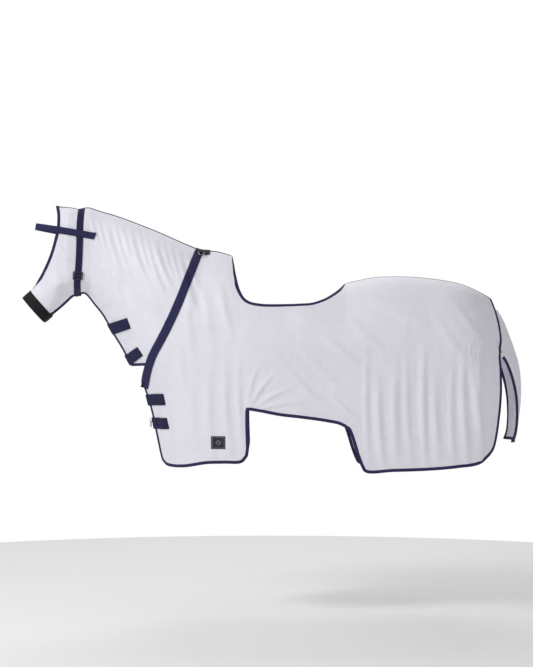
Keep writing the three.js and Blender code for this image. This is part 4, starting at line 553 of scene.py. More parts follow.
def dust_group():
    """Use marks: soft noise at Scale per metre and at five times that, as a mask from 0 to 1."""
    tree, source, sink = new_group("Dust", {"Vector": (VECTOR, None), "Scale": (FLOAT, 4.0)},
                                   {"Mask": (FLOAT, None)})
    layers = []
    for factor, share in ((1.0, 0.65), (5.0, 0.35)):
        noise = tree.nodes.new("ShaderNodeTexNoise")
        noise.inputs["Detail"].default_value = 4.0
        tree.links.new(source.outputs["Vector"], noise.inputs["Vector"])
        tree.links.new(math_node(tree, "MULTIPLY", source.outputs["Scale"], factor), noise.inputs["Scale"])
        layers.append(math_node(tree, "MULTIPLY", noise.outputs["Fac"], share))
    ramp = tree.nodes.new("ShaderNodeMapRange")
    ramp.inputs["From Min"].default_value = 0.38
    ramp.inputs["From Max"].default_value = 0.66
    tree.links.new(math_node(tree, "ADD", *layers), ramp.inputs["Value"])
    tree.links.new(ramp.outputs["Result"], sink.inputs["Mask"])
    return tree


GROUPS = {}


def group_node(tree, name, vector, **values):
    """Places a shared group in a material, fed by a vector socket and its own values."""
    if name not in GROUPS:
        GROUPS[name] = {"Weave": weave_group, "Ribs": ribs_group, "Stitches": stitch_group, "Dust": dust_group}[name]()
    node = tree.nodes.new("ShaderNodeGroup")
    node.node_tree = GROUPS[name]
    tree.links.new(vector, node.inputs["Vector"])
    for label, value in values.items():
        node.inputs[label].default_value = value
    return node


def mix_colour(tree, mask, low, high):
    """A colour mix: low where the mask is 0 and high where it is 1; either may be a socket."""
    node = tree.nodes.new("ShaderNodeMix")
    node.data_type = "RGBA"
    tree.links.new(mask, node.inputs[0])
    for socket, value in ((node.inputs[6], low), (node.inputs[7], high)):
        if isinstance(value, tuple):
            socket.default_value = value
        else:
            tree.links.new(value, socket)
    return node.outputs[2]


def blank_material(name, roughness, sheen=0.0, metallic=0.0):
    """A material with a Principled shader; returns it with its tree, shader and coordinate sockets."""
    material = bpy.data.materials.new(name)
    material.use_nodes = True
    tree = material.node_tree
    shader = tree.nodes["Principled BSDF"]
    shader.inputs["Roughness"].default_value = roughness
    shader.inputs["Metallic"].default_value = metallic
    if sheen:
        shader.inputs["Sheen Weight"].default_value = sheen
        shader.inputs["Sheen Roughness"].default_value = 0.45
    where = tree.nodes.new("ShaderNodeTexCoord")
    return material, tree, shader, where.outputs["UV"], where.outputs["Object"]


def add_bump(tree, shader, height, distance, strength=0.6):
    """Feeds a height to the shader's normal through one Bump node."""
    bump = tree.nodes.new("ShaderNodeBump")
    bump.inputs["Strength"].default_value = strength
    bump.inputs["Distance"].default_value = distance
    tree.links.new(height, bump.inputs["Height"])
    tree.links.new(bump.outputs["Normal"], shader.inputs["Normal"])


def mesh_material(name, colour, shade):
    """Open white knit: fine holes darkened with painted shade, slight greying in use, and a faint sheen."""
    material, tree, shader, uv, place = blank_material(name, 0.62, sheen=0.25)
    weave = group_node(tree, "Weave", uv, Pitch=0.0024)
    dust = group_node(tree, "Dust", place, Scale=5.0)
    base = mix_colour(tree, math_node(tree, "MULTIPLY", dust.outputs["Mask"], 0.35), linear(colour), linear(shade))
    # painted shade in the knit's holes: they are mixed halfway towards the greyed tone times 0.82
    dark = tuple(c * 0.82 for c in linear(shade)[:3]) + (1.0,)
    holes = math_node(tree, "MULTIPLY", weave.outputs["Hole"], 0.5)
    tree.links.new(mix_colour(tree, holes, base, dark), shader.inputs["Base Color"])
    creases = tree.nodes.new("ShaderNodeTexNoise")
    creases.inputs["Scale"].default_value = 15.0
    creases.inputs["Detail"].default_value = 3.0
    creases.inputs["Distortion"].default_value = 0.7
    tree.links.new(place, creases.inputs["Vector"])
    height = math_node(tree, "MULTIPLY", creases.outputs["Fac"], 22.0)
    add_bump(tree, shader, math_node(tree, "ADD", weave.outputs["Height"], height), 0.0004, 0.5)
    return material


def tape_material(name, colour, worn, pitch=0.0018, thread=None, inset=0.1, sheen=0.0):
    """Woven tape or webbing: ribs, a paler worn tone, and rows of stitches where thread is given."""
    material, tree, shader, uv, place = blank_material(name, 0.7, sheen=sheen)
    shader.inputs["Specular IOR Level"].default_value = 0.3
    ribs = group_node(tree, "Ribs", uv, Pitch=pitch)
    dust = group_node(tree, "Dust", place, Scale=18.0)
    base = mix_colour(tree, math_node(tree, "MULTIPLY", dust.outputs["Mask"], 0.5), linear(colour), linear(worn))
    height = ribs.outputs["Height"]
    if thread:
        stitches = group_node(tree, "Stitches", uv, Inset=inset)
        base = mix_colour(tree, stitches.outputs["Mask"], base, linear(thread))
        height = math_node(tree, "ADD", height, math_node(tree, "MULTIPLY", stitches.outputs["Mask"], 1.5))
    tree.links.new(base, shader.inputs["Base Color"])
    add_bump(tree, shader, height, 0.0004, 0.7)
    return material


def hard_material(name, colour, worn, roughness, metallic):
    """Moulded plastic or plated wire: fine grain in the bump and a rubbed tone."""
    material, tree, shader, _, place = blank_material(name, roughness, metallic=metallic)
    dust = group_node(tree, "Dust", place, Scale=60.0)
    tree.links.new(mix_colour(tree, dust.outputs["Mask"], linear(colour), linear(worn)), shader.inputs["Base Color"])
    noise = tree.nodes.new("ShaderNodeTexNoise")
    noise.inputs["Scale"].default_value = 1200.0
    tree.links.new(place, noise.inputs["Vector"])
    add_bump(tree, shader, noise.outputs["Fac"], 0.0002, 0.25)
    return material


def label_material(name, ground, thread):
    """Woven patch: a plain border line and a small lozenge, both in pale thread, on a dark ground."""
    material, tree, shader, uv, _ = blank_material(name, 0.6, sheen=0.1)
    split = tree.nodes.new("ShaderNodeSeparateXYZ")
    tree.links.new(uv, split.inputs[0])
    off = [math_node(tree, "ABSOLUTE", math_node(tree, "SUBTRACT", split.outputs[k], 0.5)) for k in (0, 1)]
    ring = math_node(tree, "MAXIMUM", *off)
    border = math_node(tree, "COMPARE", ring, 0.42)
    border.node.inputs[2].default_value = 0.012
    lozenge = math_node(tree, "COMPARE", math_node(tree, "ADD", *off), 0.17)
    lozenge.node.inputs[2].default_value = 0.03
    mask = math_node(tree, "MULTIPLY", math_node(tree, "MAXIMUM", border, lozenge), 0.75)
    tree.links.new(mix_colour(tree, mask, linear(ground), linear(thread)), shader.inputs["Base Color"])
    weave = group_node(tree, "Weave", uv, Pitch=0.012)
    add_bump(tree, shader, weave.outputs["Height"], 0.0003, 0.5)
    return material


MATERIALS = {}


def finish_of(key):
    """The material of one finish, made when it is first asked for, from the colours in the panel."""
    look = bpy.context.scene.fly_sheet_colours
    rgb = lambda colour: tuple(255 * c for c in colour)
    if key not in MATERIALS:
        navy, webbing, black = rgb(look.navy_tape), rgb(look.navy_webbing), rgb(look.black_webbing)
        red = rgb(look.red_thread)
        pale = lambda colour, gain: tuple(min(255, c * gain + 3) for c in colour)
        MATERIALS[key] = {
            "mesh": lambda: mesh_material("white_mesh", rgb(look.cloth), rgb(look.cloth_grey_and_hole_shade)),
            "tape": lambda: tape_material("navy_tape", navy, pale(navy, 1.15), 0.0014, pale(navy, 1.3), 0.1),
            "binding": lambda: tape_material("navy_binding", navy, pale(navy, 1.15), 0.0012, pale(navy, 1.3), 0.16),
            "webbing": lambda: tape_material("navy_webbing", webbing, pale(webbing, 1.2), 0.0024, pale(webbing, 1.4)),
            "black": lambda: tape_material("black_webbing", black, pale(black, 1.3), 0.002),
            "elastic": lambda: tape_material("nose_elastic", black, pale(black, 1.4), 0.0032, pale(black, 2), 0.08),
            "hook": lambda: tape_material("hook_tape", black, pale(black, 1.6), 0.0012, sheen=0.3),
            "loop": lambda: tape_material("loop_tape", webbing, pale(webbing, 1.3), 0.001, sheen=0.5),
            "flank": lambda: tape_material("flank_elastic", rgb(look.cloth), rgb(look.cloth_grey_and_hole_shade), 0.003),
            "thread": lambda: tape_material("red_thread", red, pale(red, 1.1), 0.0009),
            "steel": lambda: hard_material("plated_wire", (150, 152, 158), (110, 112, 120), 0.32, 1.0),
            "plastic": lambda: hard_material("slider_plastic", (26, 27, 44), (44, 45, 62), 0.42, 0.0),
            "label": lambda: label_material("woven_label", (24, 25, 42), (150, 152, 165)),
        }[key]()
    return MATERIALS[key]


# ---- panels ------------------------------------------------------------------------------------------------
def coons(top, bottom, left, right, us, vs):
    """Coons patch: the four border lines blended across and down, less the bilinear patch of the corners."""
    u, v = us[None, :, None], vs[:, None, None]
    t, b, l, r = top(us)[None], bottom(us)[None], left(vs)[:, None], right(vs)[:, None]
    corners = ((1 - v) * ((1 - u) * t[:, :1] + u * t[:, -1:]) + v * ((1 - u) * b[:, :1] + u * b[:, -1:]))
    return (1 - v) * t + v * b + (1 - u) * l + u * r - corners


def detail(count):
    return count


ROW_POWER = 1.75
BODY_KNOTS = (0.095, 0.25, 0.47)
HEM_KNOTS = (0.15, 0.215, 0.45, 0.5)


def body_grid():
    """Side view of one side's body cloth: rows by columns of (x, z)."""
    top = joined([wither_top, curve(OPENING_FRONT), curve(OPENING_REAR), rump_top], BODY_KNOTS)
    bottom = joined([curve(SHOULDER_HEM), curve(NOTCH_FRONT), curve(NOTCH_TOP), curve(QUARTER_FRONT),
                     curve(QUARTER_HEM)], HEM_KNOTS)
    left = joined([neckline, chest], [NECKLINE_SHARE])
    us = np.unique(np.concatenate([np.linspace(0, 1, detail(230)), BODY_KNOTS, HEM_KNOTS]))
    vs = np.linspace(0, 1, detail(120)) ** ROW_POWER
    vs[np.abs(vs - NECKLINE_SHARE).argmin()] = NECKLINE_SHARE
    return coons(top, bottom, left, curve(REAR_EDGE), us, vs), us, vs


def neck_grid():
    """Side view of one side's neck cloth."""
    foot = tuple(neckline(NECK_END))
    under = curve(UNDER_NECK[:7] + [NECK_CUT])
    cut = curve([NECK_CUT, tuple((np.array(NECK_CUT) + foot) / 2), foot])
    us = np.unique(np.concatenate([np.linspace(0, 1, detail(120)), [0.84]]))
    vs = np.linspace(0, 1, detail(90)) ** ROW_POWER
    return coons(crest_top, joined([under, cut], [0.84]), throat, part(neckline, 0, NECK_END), us, vs), us, vs


def head_grid():
    """Side view of one side's head cloth."""
    nose = lambda along, across: tuple(NOSE_TOP + HEAD_AXIS * along + NOSE_ACROSS * across)
    front, jaw = nose(10, -NOSE_HALF_HEIGHT + 9), nose(10, NOSE_HALF_HEIGHT - 7)
    middle = tuple((np.array(front) + jaw) / 2)
    bottom = joined([curve([front, middle, jaw]), curve([jaw] + JAW[2:])], [0.5])
    us = np.unique(np.concatenate([np.linspace(0, 1, detail(80)), [0.5]]))
    vs = np.linspace(0, 1, detail(90)) ** ROW_POWER
    return coons(poll_top, bottom, curve(FACE_OPENING + [front]), throat, us, vs), us, vs


GRIDS = {"body": body_grid(), "neck": neck_grid(), "head": head_grid()}
CLOTH = {}


def cloth_of(side, panel):
    """Points and normals of one side's panel, worked out when first asked for."""
    if (side, panel) not in CLOTH:
        flat = GRIDS[panel][0]
        CLOTH[side, panel] = skin(flat[..., 0], flat[..., 1], dict(SIDES)[side])
    return CLOTH[side, panel]


def ride_as(obj, body, slot, *nodes):
    """A piece on a body, with the CAD nodes that it stands for hidden; slot is not used."""
    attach(obj, body)
    if nodes:
        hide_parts(*nodes)
    return obj


def bend_as(obj, body, slot, start, end, *nodes):
    """A piece with its transform baked into its mesh and the CAD nodes that it stands for hidden; body, slot, start and
    end are not used.
    """
    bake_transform(obj)
    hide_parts(*nodes)


def run_rim(key, path):
    """Edge points, points some way in, and normals along (row, column, row in, column in) index arrays."""
    p, n = cloth_of(*key)
    r, c, ri, ci = path
    return p[r, c], p[ri, ci], n[r, c]


def make_panels():
    """Body, neck and head cloth of both sides."""
    flats = {"body": ((1.62, 1.02), 1.32), "neck": ((0.72, 0.78), 0.30), "head": ((0.30, 0.52), 0.077)}
    nodes = {"body": ("front_body_panel", "rear_body_panel"), "neck": ("neck_panel",), "head": ("head_panel",)}
    for side, sign in SIDES:
        for panel, (flat, area) in flats.items():
            obj = cloth_object(f"{side}_{panel}_cloth", cloth_of(side, panel)[0], sign, finish_of("mesh"))
            ride_as(obj, "sheet", "white_mesh", *[f"{side}_{node}" for node in nodes[panel]])


# ---- bindings, tapes and bands -----------------------------------------------------------------------------
INWARD = 5


def make_bindings():
    """Bindings of the hem, notch and rear edge, neck, jaw, face and saddle opening."""
    _, us, vs = GRIDS["body"]
    rows, cols = len(vs), len(us)
    start = int(np.abs(vs - NECKLINE_SHARE).argmin())
    down, along, up = np.arange(start, rows), np.arange(1, cols), np.arange(rows - 2, -1, -1)
    join = lambda *parts: np.concatenate(parts).astype(int)
    full = lambda like, value: np.full(len(like), value)
    hem = (join(down, full(along, rows - 1), up), join(full(down, 0), along, full(up, cols - 1)),
           join(down, full(along, rows - 1 - 2), up), join(full(down, 3), along, full(up, cols - 4)))
    for side, _ in SIDES:
        obj = binding_object(f"{side}_hem_binding", *run_rim((side, "body"), hem), finish_of("binding"))
        ride_as(obj, "sheet", "navy_tape", f"{side}_edge_binding")
        for panel, first, nodes in (("neck", 0, "neck_front_binding"), ("head", None, "jaw_binding")):
            _, pu, pv = GRIDS[panel]
            begin = int(np.abs(pu - 0.5).argmin()) + 2 if first is None else first
            c = np.arange(begin, len(pu))
            r = full(c, len(pv) - 1)
            rim = run_rim((side, panel), (r, c, r - 3, c))
            ride_as(binding_object(f"{side}_{nodes}_tape", *rim, finish_of("binding")), "sheet", "navy_tape",
                    f"{side}_{nodes}")
    # saddle opening: near side from front to rear, then back along the off side
    first, final = (int(np.abs(us - k).argmin()) for k in (BODY_KNOTS[0], BODY_KNOTS[2]))
    c = np.arange(first, final + 1)
    r = full(c, 0)
    rim = [run_rim((side, "body"), (r, c, r + INWARD * 3, c)) for side in ("near", "off")]
    loop = [np.concatenate([rim[0][k], rim[1][k][::-1][1:-1]]) for k in range(3)]
    ride_as(binding_object("saddle_opening_tape", *loop, finish_of("binding"), loop=True), "sheet", "navy_tape",
            "saddle_opening_binding")
    # face opening: up the near side, over the poll and down the off side
    _, _, pv = GRIDS["head"]
    r = np.arange(0, int(len(pv) * 0.97))
    rim = [run_rim((side, "head"), (r, r * 0, r, r * 0 + 4)) for side in ("near", "off")]
    loop = [np.concatenate([rim[0][k][::-1], rim[1][k][1:]]) for k in range(3)]
    ride_as(binding_object("face_opening_tape", *loop, finish_of("binding")), "sheet", "navy_tape", "face_binding")


def top_tape(name, start, stop, nodes):
    """Tape over the top seam between two places along the horse."""
    reach = sizes().top_tape / MM / 2
    x = np.linspace(start, stop, max(8, int((stop - start) / 8)))[:, None]
    y = np.linspace(-reach, reach, 7)[None]
    p, n = over_top(x + 0 * y, y + 0 * x, LIFTS["top_tape"])
    obj = band_object(name, p, grid_facing(p, n), 1.2, finish_of("tape"))
    return ride_as(obj, "sheet", "navy_tape", *nodes)


def grid_facing(p, like):
    """Grid normals, turned to the side of the given ones."""
    n = grid_normals(p)
    return n * np.sign((n * like).sum(-1, keepdims=True) + 1e-9)


def side_band(line, width, side, lift, count):
    """A strap laid along a side-view line: columns across it, rows down it, with its top row on the top line."""
    t = np.linspace(0, 1, count) ** 1.6
    middle = line(t)
    ahead = unit(line(np.clip(t + 0.004, 0, 1)) - line(np.clip(t - 0.004, 0, 1)))
    a = np.linspace(-width / 2, width / 2, 7)[None]
    x = middle[:, :1] + a * -ahead[:, 1:]
    depth = topline(middle[:, :1]) - middle[:, 1:]
    ease = np.clip(depth / 70, 0, 1)
    z = (topline(x) - depth) * (1 - ease) + (middle[:, 1:] + a * ahead[:, :1]) * ease
    p, n = skin(x, z, side, lift)
    top = (depth < 0.5)[..., None]
    p = np.where(top, np.stack([x, 0 * x, topline(x) + lift], -1), p)
    n = np.where(top, [0, 0, 1], n)
    return p, n


def make_tapes():
    """Top line tapes and the bands over the neckline seam."""
    top_tape("top_tape_front", -652, 126, ("poll_tape", "crest_tape", "wither_tape"))
    top_tape("top_tape_rear", 645, 1288, ("spine_tape",))
    for side, sign in SIDES:
        p, n = side_band(neckline, sizes().neckline_band / MM, sign, LIFTS["neckline_tape"], 110)
        obj = band_object(f"{side}_neckline_tape", p, grid_facing(p, n), 1.3, finish_of("tape"))
        ride_as(obj, "sheet", "navy_tape", f"{side}_neckline_band")


# ---- tail flap ---------------------------------------------------------------------------------------------
FLAP_HINGE = -449.0
FLAP_LOW = [(-482, 1334, 163, 1413), (-520, 1352, 166, 1420), (-575, 1370, 164, 1425), (-640, 1384, 160, 1425),
            (-705, 1389, 156, 1420), (-765, 1388, 152, 1411), (-815, 1381, 147, 1404), (-847, 1368, 142, 1397)]
FLAP_LEAVE = (0.93, -0.37)


def flap_surface():
    """The tail flap: at each height a cubic from the near edge round the tail to the off edge.

    Above the bar tacks its edges run inside the body cloth, in that cloth's own direction; below, they are free.
    """
    rear = curve(REAR_EDGE)(np.linspace(0, 1, 400))
    tail = np.array(TAIL_LINE, float)[::-1]
    rows = []
    for z in (-262, -290, -320, -360, -405, FLAP_HINGE):
        x = float(np.interp(-z, -rear[:, 1], rear[:, 0]))
        inside = [skin(np.array(x + d), np.array(float(z)), 1) for d in (-16, -2)]
        a, b = [p - 6.0 * n for p, n in inside]
        lead = unit(b[:2] - a[:2])
        rows.append((z, a[0], a[1], float(np.interp(z, tail[:, 1], tail[:, 0])), lead[0], lead[1]))
    rows += [(z, x, y, middle, *FLAP_LEAVE) for z, x, y, middle in FLAP_LOW]
    shape = curve([(row[0], *row[1:]) for row in rows])
    table_z = shape(np.linspace(0, 1, 300))
    z = np.linspace(-262, -847, detail(130))
    x, y, mid, lx, ly = (np.interp(-z, -table_z[:, 0], table_z[:, k])[:, None] for k in range(1, 6))
    t = np.linspace(0, 1, detail(56))[None]
    reach = 0.5 * (mid - x) / np.maximum(0.5, lx)
    weights = ((1 - t) ** 3, 3 * t * (1 - t) ** 2, 3 * t * t * (1 - t), t ** 3)
    px = sum(w * c for w, c in zip(weights, (x, x + lx * reach, mid, mid)))
    py = sum(w * c for w, c in zip(weights, (y, y + ly * reach, y * 0.55, 0 * y)))
    near = np.stack([px, -py, z[:, None] + 0 * px], -1)
    off = np.stack([px, py, z[:, None] + 0 * px], -1)[:, ::-1]
    p = np.concatenate([near, off[:, 1:]], axis=1)
    n = grid_normals(p)
    n *= np.sign(n[..., :1].mean() + 1e-9)
    free = np.clip((FLAP_HINGE - 20 - p[..., 2]) / 250, 0, 1)
    wave = free * (3.0 * np.sin(p[..., 1] / 21 + p[..., 2] / 190) + 1.6 * np.sin(p[..., 1] / 9.5 + 1.2))
    return p + n * wave[..., None], n


def make_tail_flap():
    """The tail flap as one cloth, free below the bar tacks, and its binding below them."""
    p, n = flap_surface()
    uv = np.stack([arc(p, 1), arc(p, 0)], -1)
    if grid_normals(p)[..., 0].mean() > 0:
        p_out, uv = p[:, ::-1], uv[:, ::-1]
    else:
        p_out = p
    obj = mesh_object("tail_flap_cloth", p_out, uv)
    add_wall(obj, sizes().cloth_wall)
    obj.data.materials.append(finish_of("mesh"))
    bend_as(obj, "tail_flap", "white_mesh", (1.38, 0, -0.446), (1.38, 0, -0.472), "tail_flap_upper",
            "tail_flap_lower")
    rows, cols = p.shape[:2]
    first = int(np.abs(p[:, 0, 2] - (FLAP_HINGE - 26)).argmin())
    down, across, up = np.arange(first, rows), np.arange(1, cols), np.arange(rows - 2, first - 1, -1)
    r = np.concatenate([down, across * 0 + rows - 1, up])
    c = np.concatenate([down * 0, across, up * 0 + cols - 1])
    ri = np.concatenate([down, across * 0 + rows - 3, up])
    ci = np.concatenate([down * 0 + 3, across, up * 0 + cols - 4])
    tape = binding_object("tail_flap_tape", p[r, c], p[ri, ci], n[r, c], finish_of("binding"))
    ride_as(tape, "tail_flap", "navy_tape", "tail_flap_binding")


# ---- straps and fittings -----------------------------------------------------------------------------------
def path_band(points, up, width, step):
    """A flat strap along a 3-D line: up is its width direction; the normal is the tangent crossed with it."""
    line = curve(points)
    count = max(12, int(line.length / step))
    middle = line(np.linspace(0, 1, count))
    tangent = unit(np.gradient(middle, axis=0))
    across = unit(up - (up * tangent).sum(-1, keepdims=True) * tangent)
    normal = unit(np.cross(tangent, across))
    a = np.linspace(-width / 2, width / 2, 5)[None, :, None]
    return middle[:, None] + across[:, None] * a, np.repeat(normal[:, None], 5, axis=1)


def make_throat_strap():
    """Throat strap: from under the throat up the near side, over the poll and down the off side, in one loop."""
    near_p, off_p = (side_band(throat, sizes().strap / MM, sign, LIFTS["throat_strap"], 70)[0] for _, sign in SIDES)
    near_p = near_p[::-1]
    sag = np.array([0.0, 0.0, -9.0])
    under = np.linspace(0, 1, 9)[1:-1, None, None]
    bridge = off_p[-1:] * (1 - under) + near_p[:1] * under + sag * np.sin(np.pi * under)
    p = np.concatenate([near_p[:-1], off_p, bridge])
    n = grid_normals(p)
    centre = np.array([-550.0, 0.0, 0.0])
    n *= np.sign((n * (p - centre)).sum(-1, keepdims=True) + 1e-9)
    n = unit(smoothed(n, 2, True))
    obj = band_object("throat_strap_webbing", p, n, WEBBING, finish_of("webbing"), loop=True)
    ride_as(obj, "sheet", "navy_webbing", "throat_strap", "throat_strap_lower")
    slider = frame["nodes"]["throat_slider"]
    for slot in slider.material_slots:
        slot.link = "OBJECT"
        slot.material = finish_of("plastic")


BROW_LINE = ((-754, 114), (-478, 66))
BROW_HINGE_X = -566.0


def brow_height(x):
    """Height of the brow strap's middle line at x."""
    (x0, z0), (x1, z1) = BROW_LINE
    return z0 + (np.asarray(x, float) - x0) * (z1 - z0) / (x1 - x0)


def make_brow_strap():
    """Brow strap from the off neck round the forehead, with its loose near end over touch tape."""
    back = np.array([-478, -500, -522, -545, -566, -590, -615, -652], float)
    lifts = np.array([4.0, 4.2, 4.8, 6.0, 6.2, 5.0, 4.6, 4.4])
    off, _ = skin(back, brow_height(back), 1, lifts)
    near, _ = skin(back, brow_height(back), -1, lifts)
    front = np.array([(-690, 77), (-718, 60), (-739, 38), (-751, 14)], float)
    arc_off = np.stack([front[:, 0], front[:, 1], brow_height(front[:, 0])], -1)
    arc_near = (arc_off * [1, -1, 1])[::-1]
    path = np.vstack([off, arc_off, arc_near, near[::-1]])
    up = np.array([0.17, 0.0, 0.985])
    p, n = path_band(path, up, sizes().strap / MM, 4.0)
    n = n * np.sign((n * (p - [-600, 0, 90])).sum(-1, keepdims=True) + 1e-9)
    nearest = np.abs(p[:, 2, 0] - (BROW_HINGE_X - 8)) + 1000 * (p[:, 2, 1] > 0)
    split = int(nearest.argmin())
    main = band_object("brow_strap_webbing", p[:split + 1], n[:split + 1], WEBBING, finish_of("tape"))
    ride_as(main, "sheet", "navy_tape", "brow_strap")
    tail_p, tail_n = p[split:].copy(), n[split:]
    slant = np.linspace(-0.5, 0.5, 5)[None, :] * np.linspace(0, 1, len(tail_p))[:, None] ** 6 * 9
    tail_p[..., 0] += slant
    end = band_object("brow_strap_loose_end", tail_p, tail_n, WEBBING, finish_of("tape"))
    hinge = np.array(JOINTS["brow_strap_end_peel"]["pos_m"])
    bend_as(end, "brow_strap_end", "navy_tape", hinge - [0.006, 0, 0], hinge + [0.014, 0, 0], "brow_strap_end")
    x = np.linspace(-522, -482, 9)[:, None]
    a = np.linspace(-14, 14, 5)[None]
    for name, lift, body, key in (("brow_hook_tape", LIFTS["brow_hook"], "brow_strap_end", "hook"),
                                  ("brow_loop_tape", LIFTS["brow_loop"], "sheet", "loop")):
        p, n = skin(x + a * 0.17, brow_height(x) + a, -1, lift)
        ride_as(band_object(name, p, n, TOUCH_TAPE, finish_of(key)), body,
                "black_webbing" if key == "hook" else "navy_webbing",
                f"brow_strap_{key}_tape")


def make_nose_band():
    """Elastic nose band: a super-ellipse ring open at the jaw, and the tab that closes it."""
    def ring(angle, along, out):
        """Places at angles round the nose, distances along the head and outwards."""
        bend = lambda v: np.sign(v) * np.abs(v) ** (2 / NOSE_POWER)
        across = -(NOSE_HALF_HEIGHT + out) * bend(np.cos(angle))
        side = NOSE_TOP + HEAD_AXIS * along[..., None] + NOSE_ACROSS * across[..., None]
        return np.stack([side[..., 0], (NOSE_HALF_WIDTH + out) * bend(np.sin(angle)), side[..., 1]], -1)

    def belt(start, stop, along, out, count, columns):
        """Points and outward normals of a belt between two angles and two distances along the head."""
        angle = np.linspace(start, stop, count)[:, None] + np.zeros((1, columns))
        where = np.linspace(*along, columns)[None] + 0 * angle
        p = ring(angle, where, out)
        n = unit(ring(angle, where, out + 1.0) - p)
        return p, grid_facing(p, n)

    p, n = belt(-(np.pi - 0.2), np.pi - 0.2, (1.0, 50.0), 0.0, 150, 9)
    rib = 0.35 * np.sin(np.linspace(0, 7 * np.pi, 9))[None, :, None]
    ride_as(band_object("nose_band_elastic", p + n * rib, n, 2.0, finish_of("elastic"), edge=0.7), "sheet",
            "black_webbing", "nose_band")
    p, n = belt(np.pi - 0.32, np.pi + 0.75, (6.0, 44.0), 1.9, 40, 7)
    tab = band_object("nose_band_touch_tab", p, n, WEBBING, finish_of("black"))
    hinge = np.array(JOINTS["nose_band_tab_peel"]["pos_m"])
    bend_as(tab, "nose_band_tab", "black_webbing", hinge + [0, 0.001, 0], hinge - [0, 0.012, 0], "nose_band_tab")


# Each tab: name, upper front, lower front, upper back, lower back in the side view.
TABS = [("neck_tab_upper", (-425, -324), (-399, -370), (-335, -298), (-318, -345)),
        ("neck_tab_lower", (-346, -464), (-322, -508), (-291, -428), (-265, -467)),
        ("chest_tab_upper", (-251, -640), (-240, -690), (-172, -634), (-162, -684)),
        ("chest_tab_lower", (-228, -744), (-216, -794), (-160, -742), (-148, -792))]


def make_tabs():
    """Four touch-tape closures: webbing from the off side round the front edge to its loose near end."""
    for name, uf, lf, ub, lb in TABS:
        uf, lf, ub, lb = (np.array(v, float) for v in (uf, lf, ub, lb))
        across = np.linspace(0, 1, 7)[:, None]
        front, back = uf + (lf - uf) * across, ub + (lb - ub) * across

        def lay(share, sign, lift):
            """Rows of the tab on one side's cloth, at shares of its length."""
            at = front[None] + (back - front)[None] * np.asarray(share)[:, None, None]
            return skin(at[..., 0], at[..., 1], sign, np.asarray(lift)[:, None])

        shares = np.linspace(0.04, 1, 26)
        near, _ = lay(shares, -1, LIFTS["tab"] + 0 * shares)
        off, _ = lay(np.linspace(0.6, 0.04, 14), 1, np.full(14, LIFTS["tab_off_side"]))
        bow = np.linspace(0, 1, 11)[1:-1, None, None]
        turn = off[-1:] * (1 - bow) + near[:1] * bow
        outward = unit(np.array([-1.0, 0.0, -0.28]))
        turn = turn + outward * (9.0 * np.sin(np.pi * bow) ** 0.7)
        p = smoothed(np.concatenate([off, turn, near]), 2)
        centre = np.array([back[:, 0].mean() + 60, 0, front[:, 1].mean()])
        n = grid_normals(p)
        n = unit(smoothed(n * np.sign((n * (p - centre)).sum(-1, keepdims=True) + 1e-9), 2))
        split = len(off) + 6
        base = band_object(f"{name}_webbing", p[:split + 1], n[:split + 1], WEBBING, finish_of("webbing"))
        ride_as(base, "sheet", "navy_webbing", f"{name}_base")
        leaf = band_object(f"{name}_loose_end", p[split:], n[split:], WEBBING, finish_of("webbing"))
        joint = JOINTS[f"{name}_peel"]
        hinge, along = np.array(joint["pos_m"]), unit((near[8] - near[0]).mean(0))
        bend_as(leaf, name, "navy_webbing", hinge - 0.005 * along, hinge + 0.014 * along, f"{name}_leaf")
        for kind, lift, body, slot in (("hook", LIFTS["tab_hook"], name, "black_webbing"),
                                       ("loop", LIFTS["tab_loop"], "sheet", "navy_webbing")):
            length = np.linalg.norm(back[3] - front[3])
            q, m = lay(np.linspace(0.26, 1 + 3.2 / length, 14), -1, np.full(14, lift))
            ride_as(band_object(f"{name}_{kind}", q, m, TOUCH_TAPE, finish_of(kind)), body, slot, f"{name}_{kind}_tape")


def ring_pieces(name):
    """A smooth wire ring and its folded keeper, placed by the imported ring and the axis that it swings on."""
    joint = JOINTS[f"{name}_ring_swing"]
    low, high = (np.array(v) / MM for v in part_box(f"{name}_ring"))
    top, centre = np.array(joint["pos_m"]) / MM, (low + high) / 2
    along = unit(np.array(joint["axis"]))
    hang = unit(centre - top)
    out = unit(np.cross(along, hang))
    radius, wire = 13.0, 1.9
    a = np.linspace(0, 2 * np.pi, 64, endpoint=False)[:, None, None]
    b = np.linspace(0, 2 * np.pi, 16, endpoint=False)[None, :, None]
    radial = np.cos(a) * along + np.sin(a) * hang
    p = centre + radial * (radius + wire * np.cos(b)) + out * (wire * np.sin(b))
    uv = np.stack(np.meshgrid(np.linspace(0, 0.08, 65), np.linspace(0, 1, 17), indexing="ij"), -1)
    ring = mesh_object(f"{name}_wire_ring", p, uv, wrap=True, loop=True, closed=True)
    ring.data.materials.append(finish_of("steel"))
    ride_as(ring, f"{name}_ring", "steel", f"{name}_ring")
    k_low, k_high = (np.array(v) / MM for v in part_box(f"{name}_keeper"))
    up = unit((k_low + k_high) / 2 - centre)
    up = unit(up - (up * along).sum() * along)
    face = unit(np.cross(up, along))
    bend = np.linspace(-np.pi / 2, np.pi / 2, 13)
    arc_points = [top - up * 4.2 * np.cos(v) + face * 4.2 * np.sin(v) for v in bend]
    path = [top + up * 16 - face * 4.2, top + up * 8 - face * 4.2, *arc_points, top + up * 8 + face * 4.2,
            top + up * 16 + face * 4.2]
    q, m = path_band(np.array(path), along, 11, 1.2)
    ride_as(band_object(f"{name}_ring_keeper", q, m, 1.4, finish_of("black")), "sheet", "black_webbing",
            f"{name}_keeper")


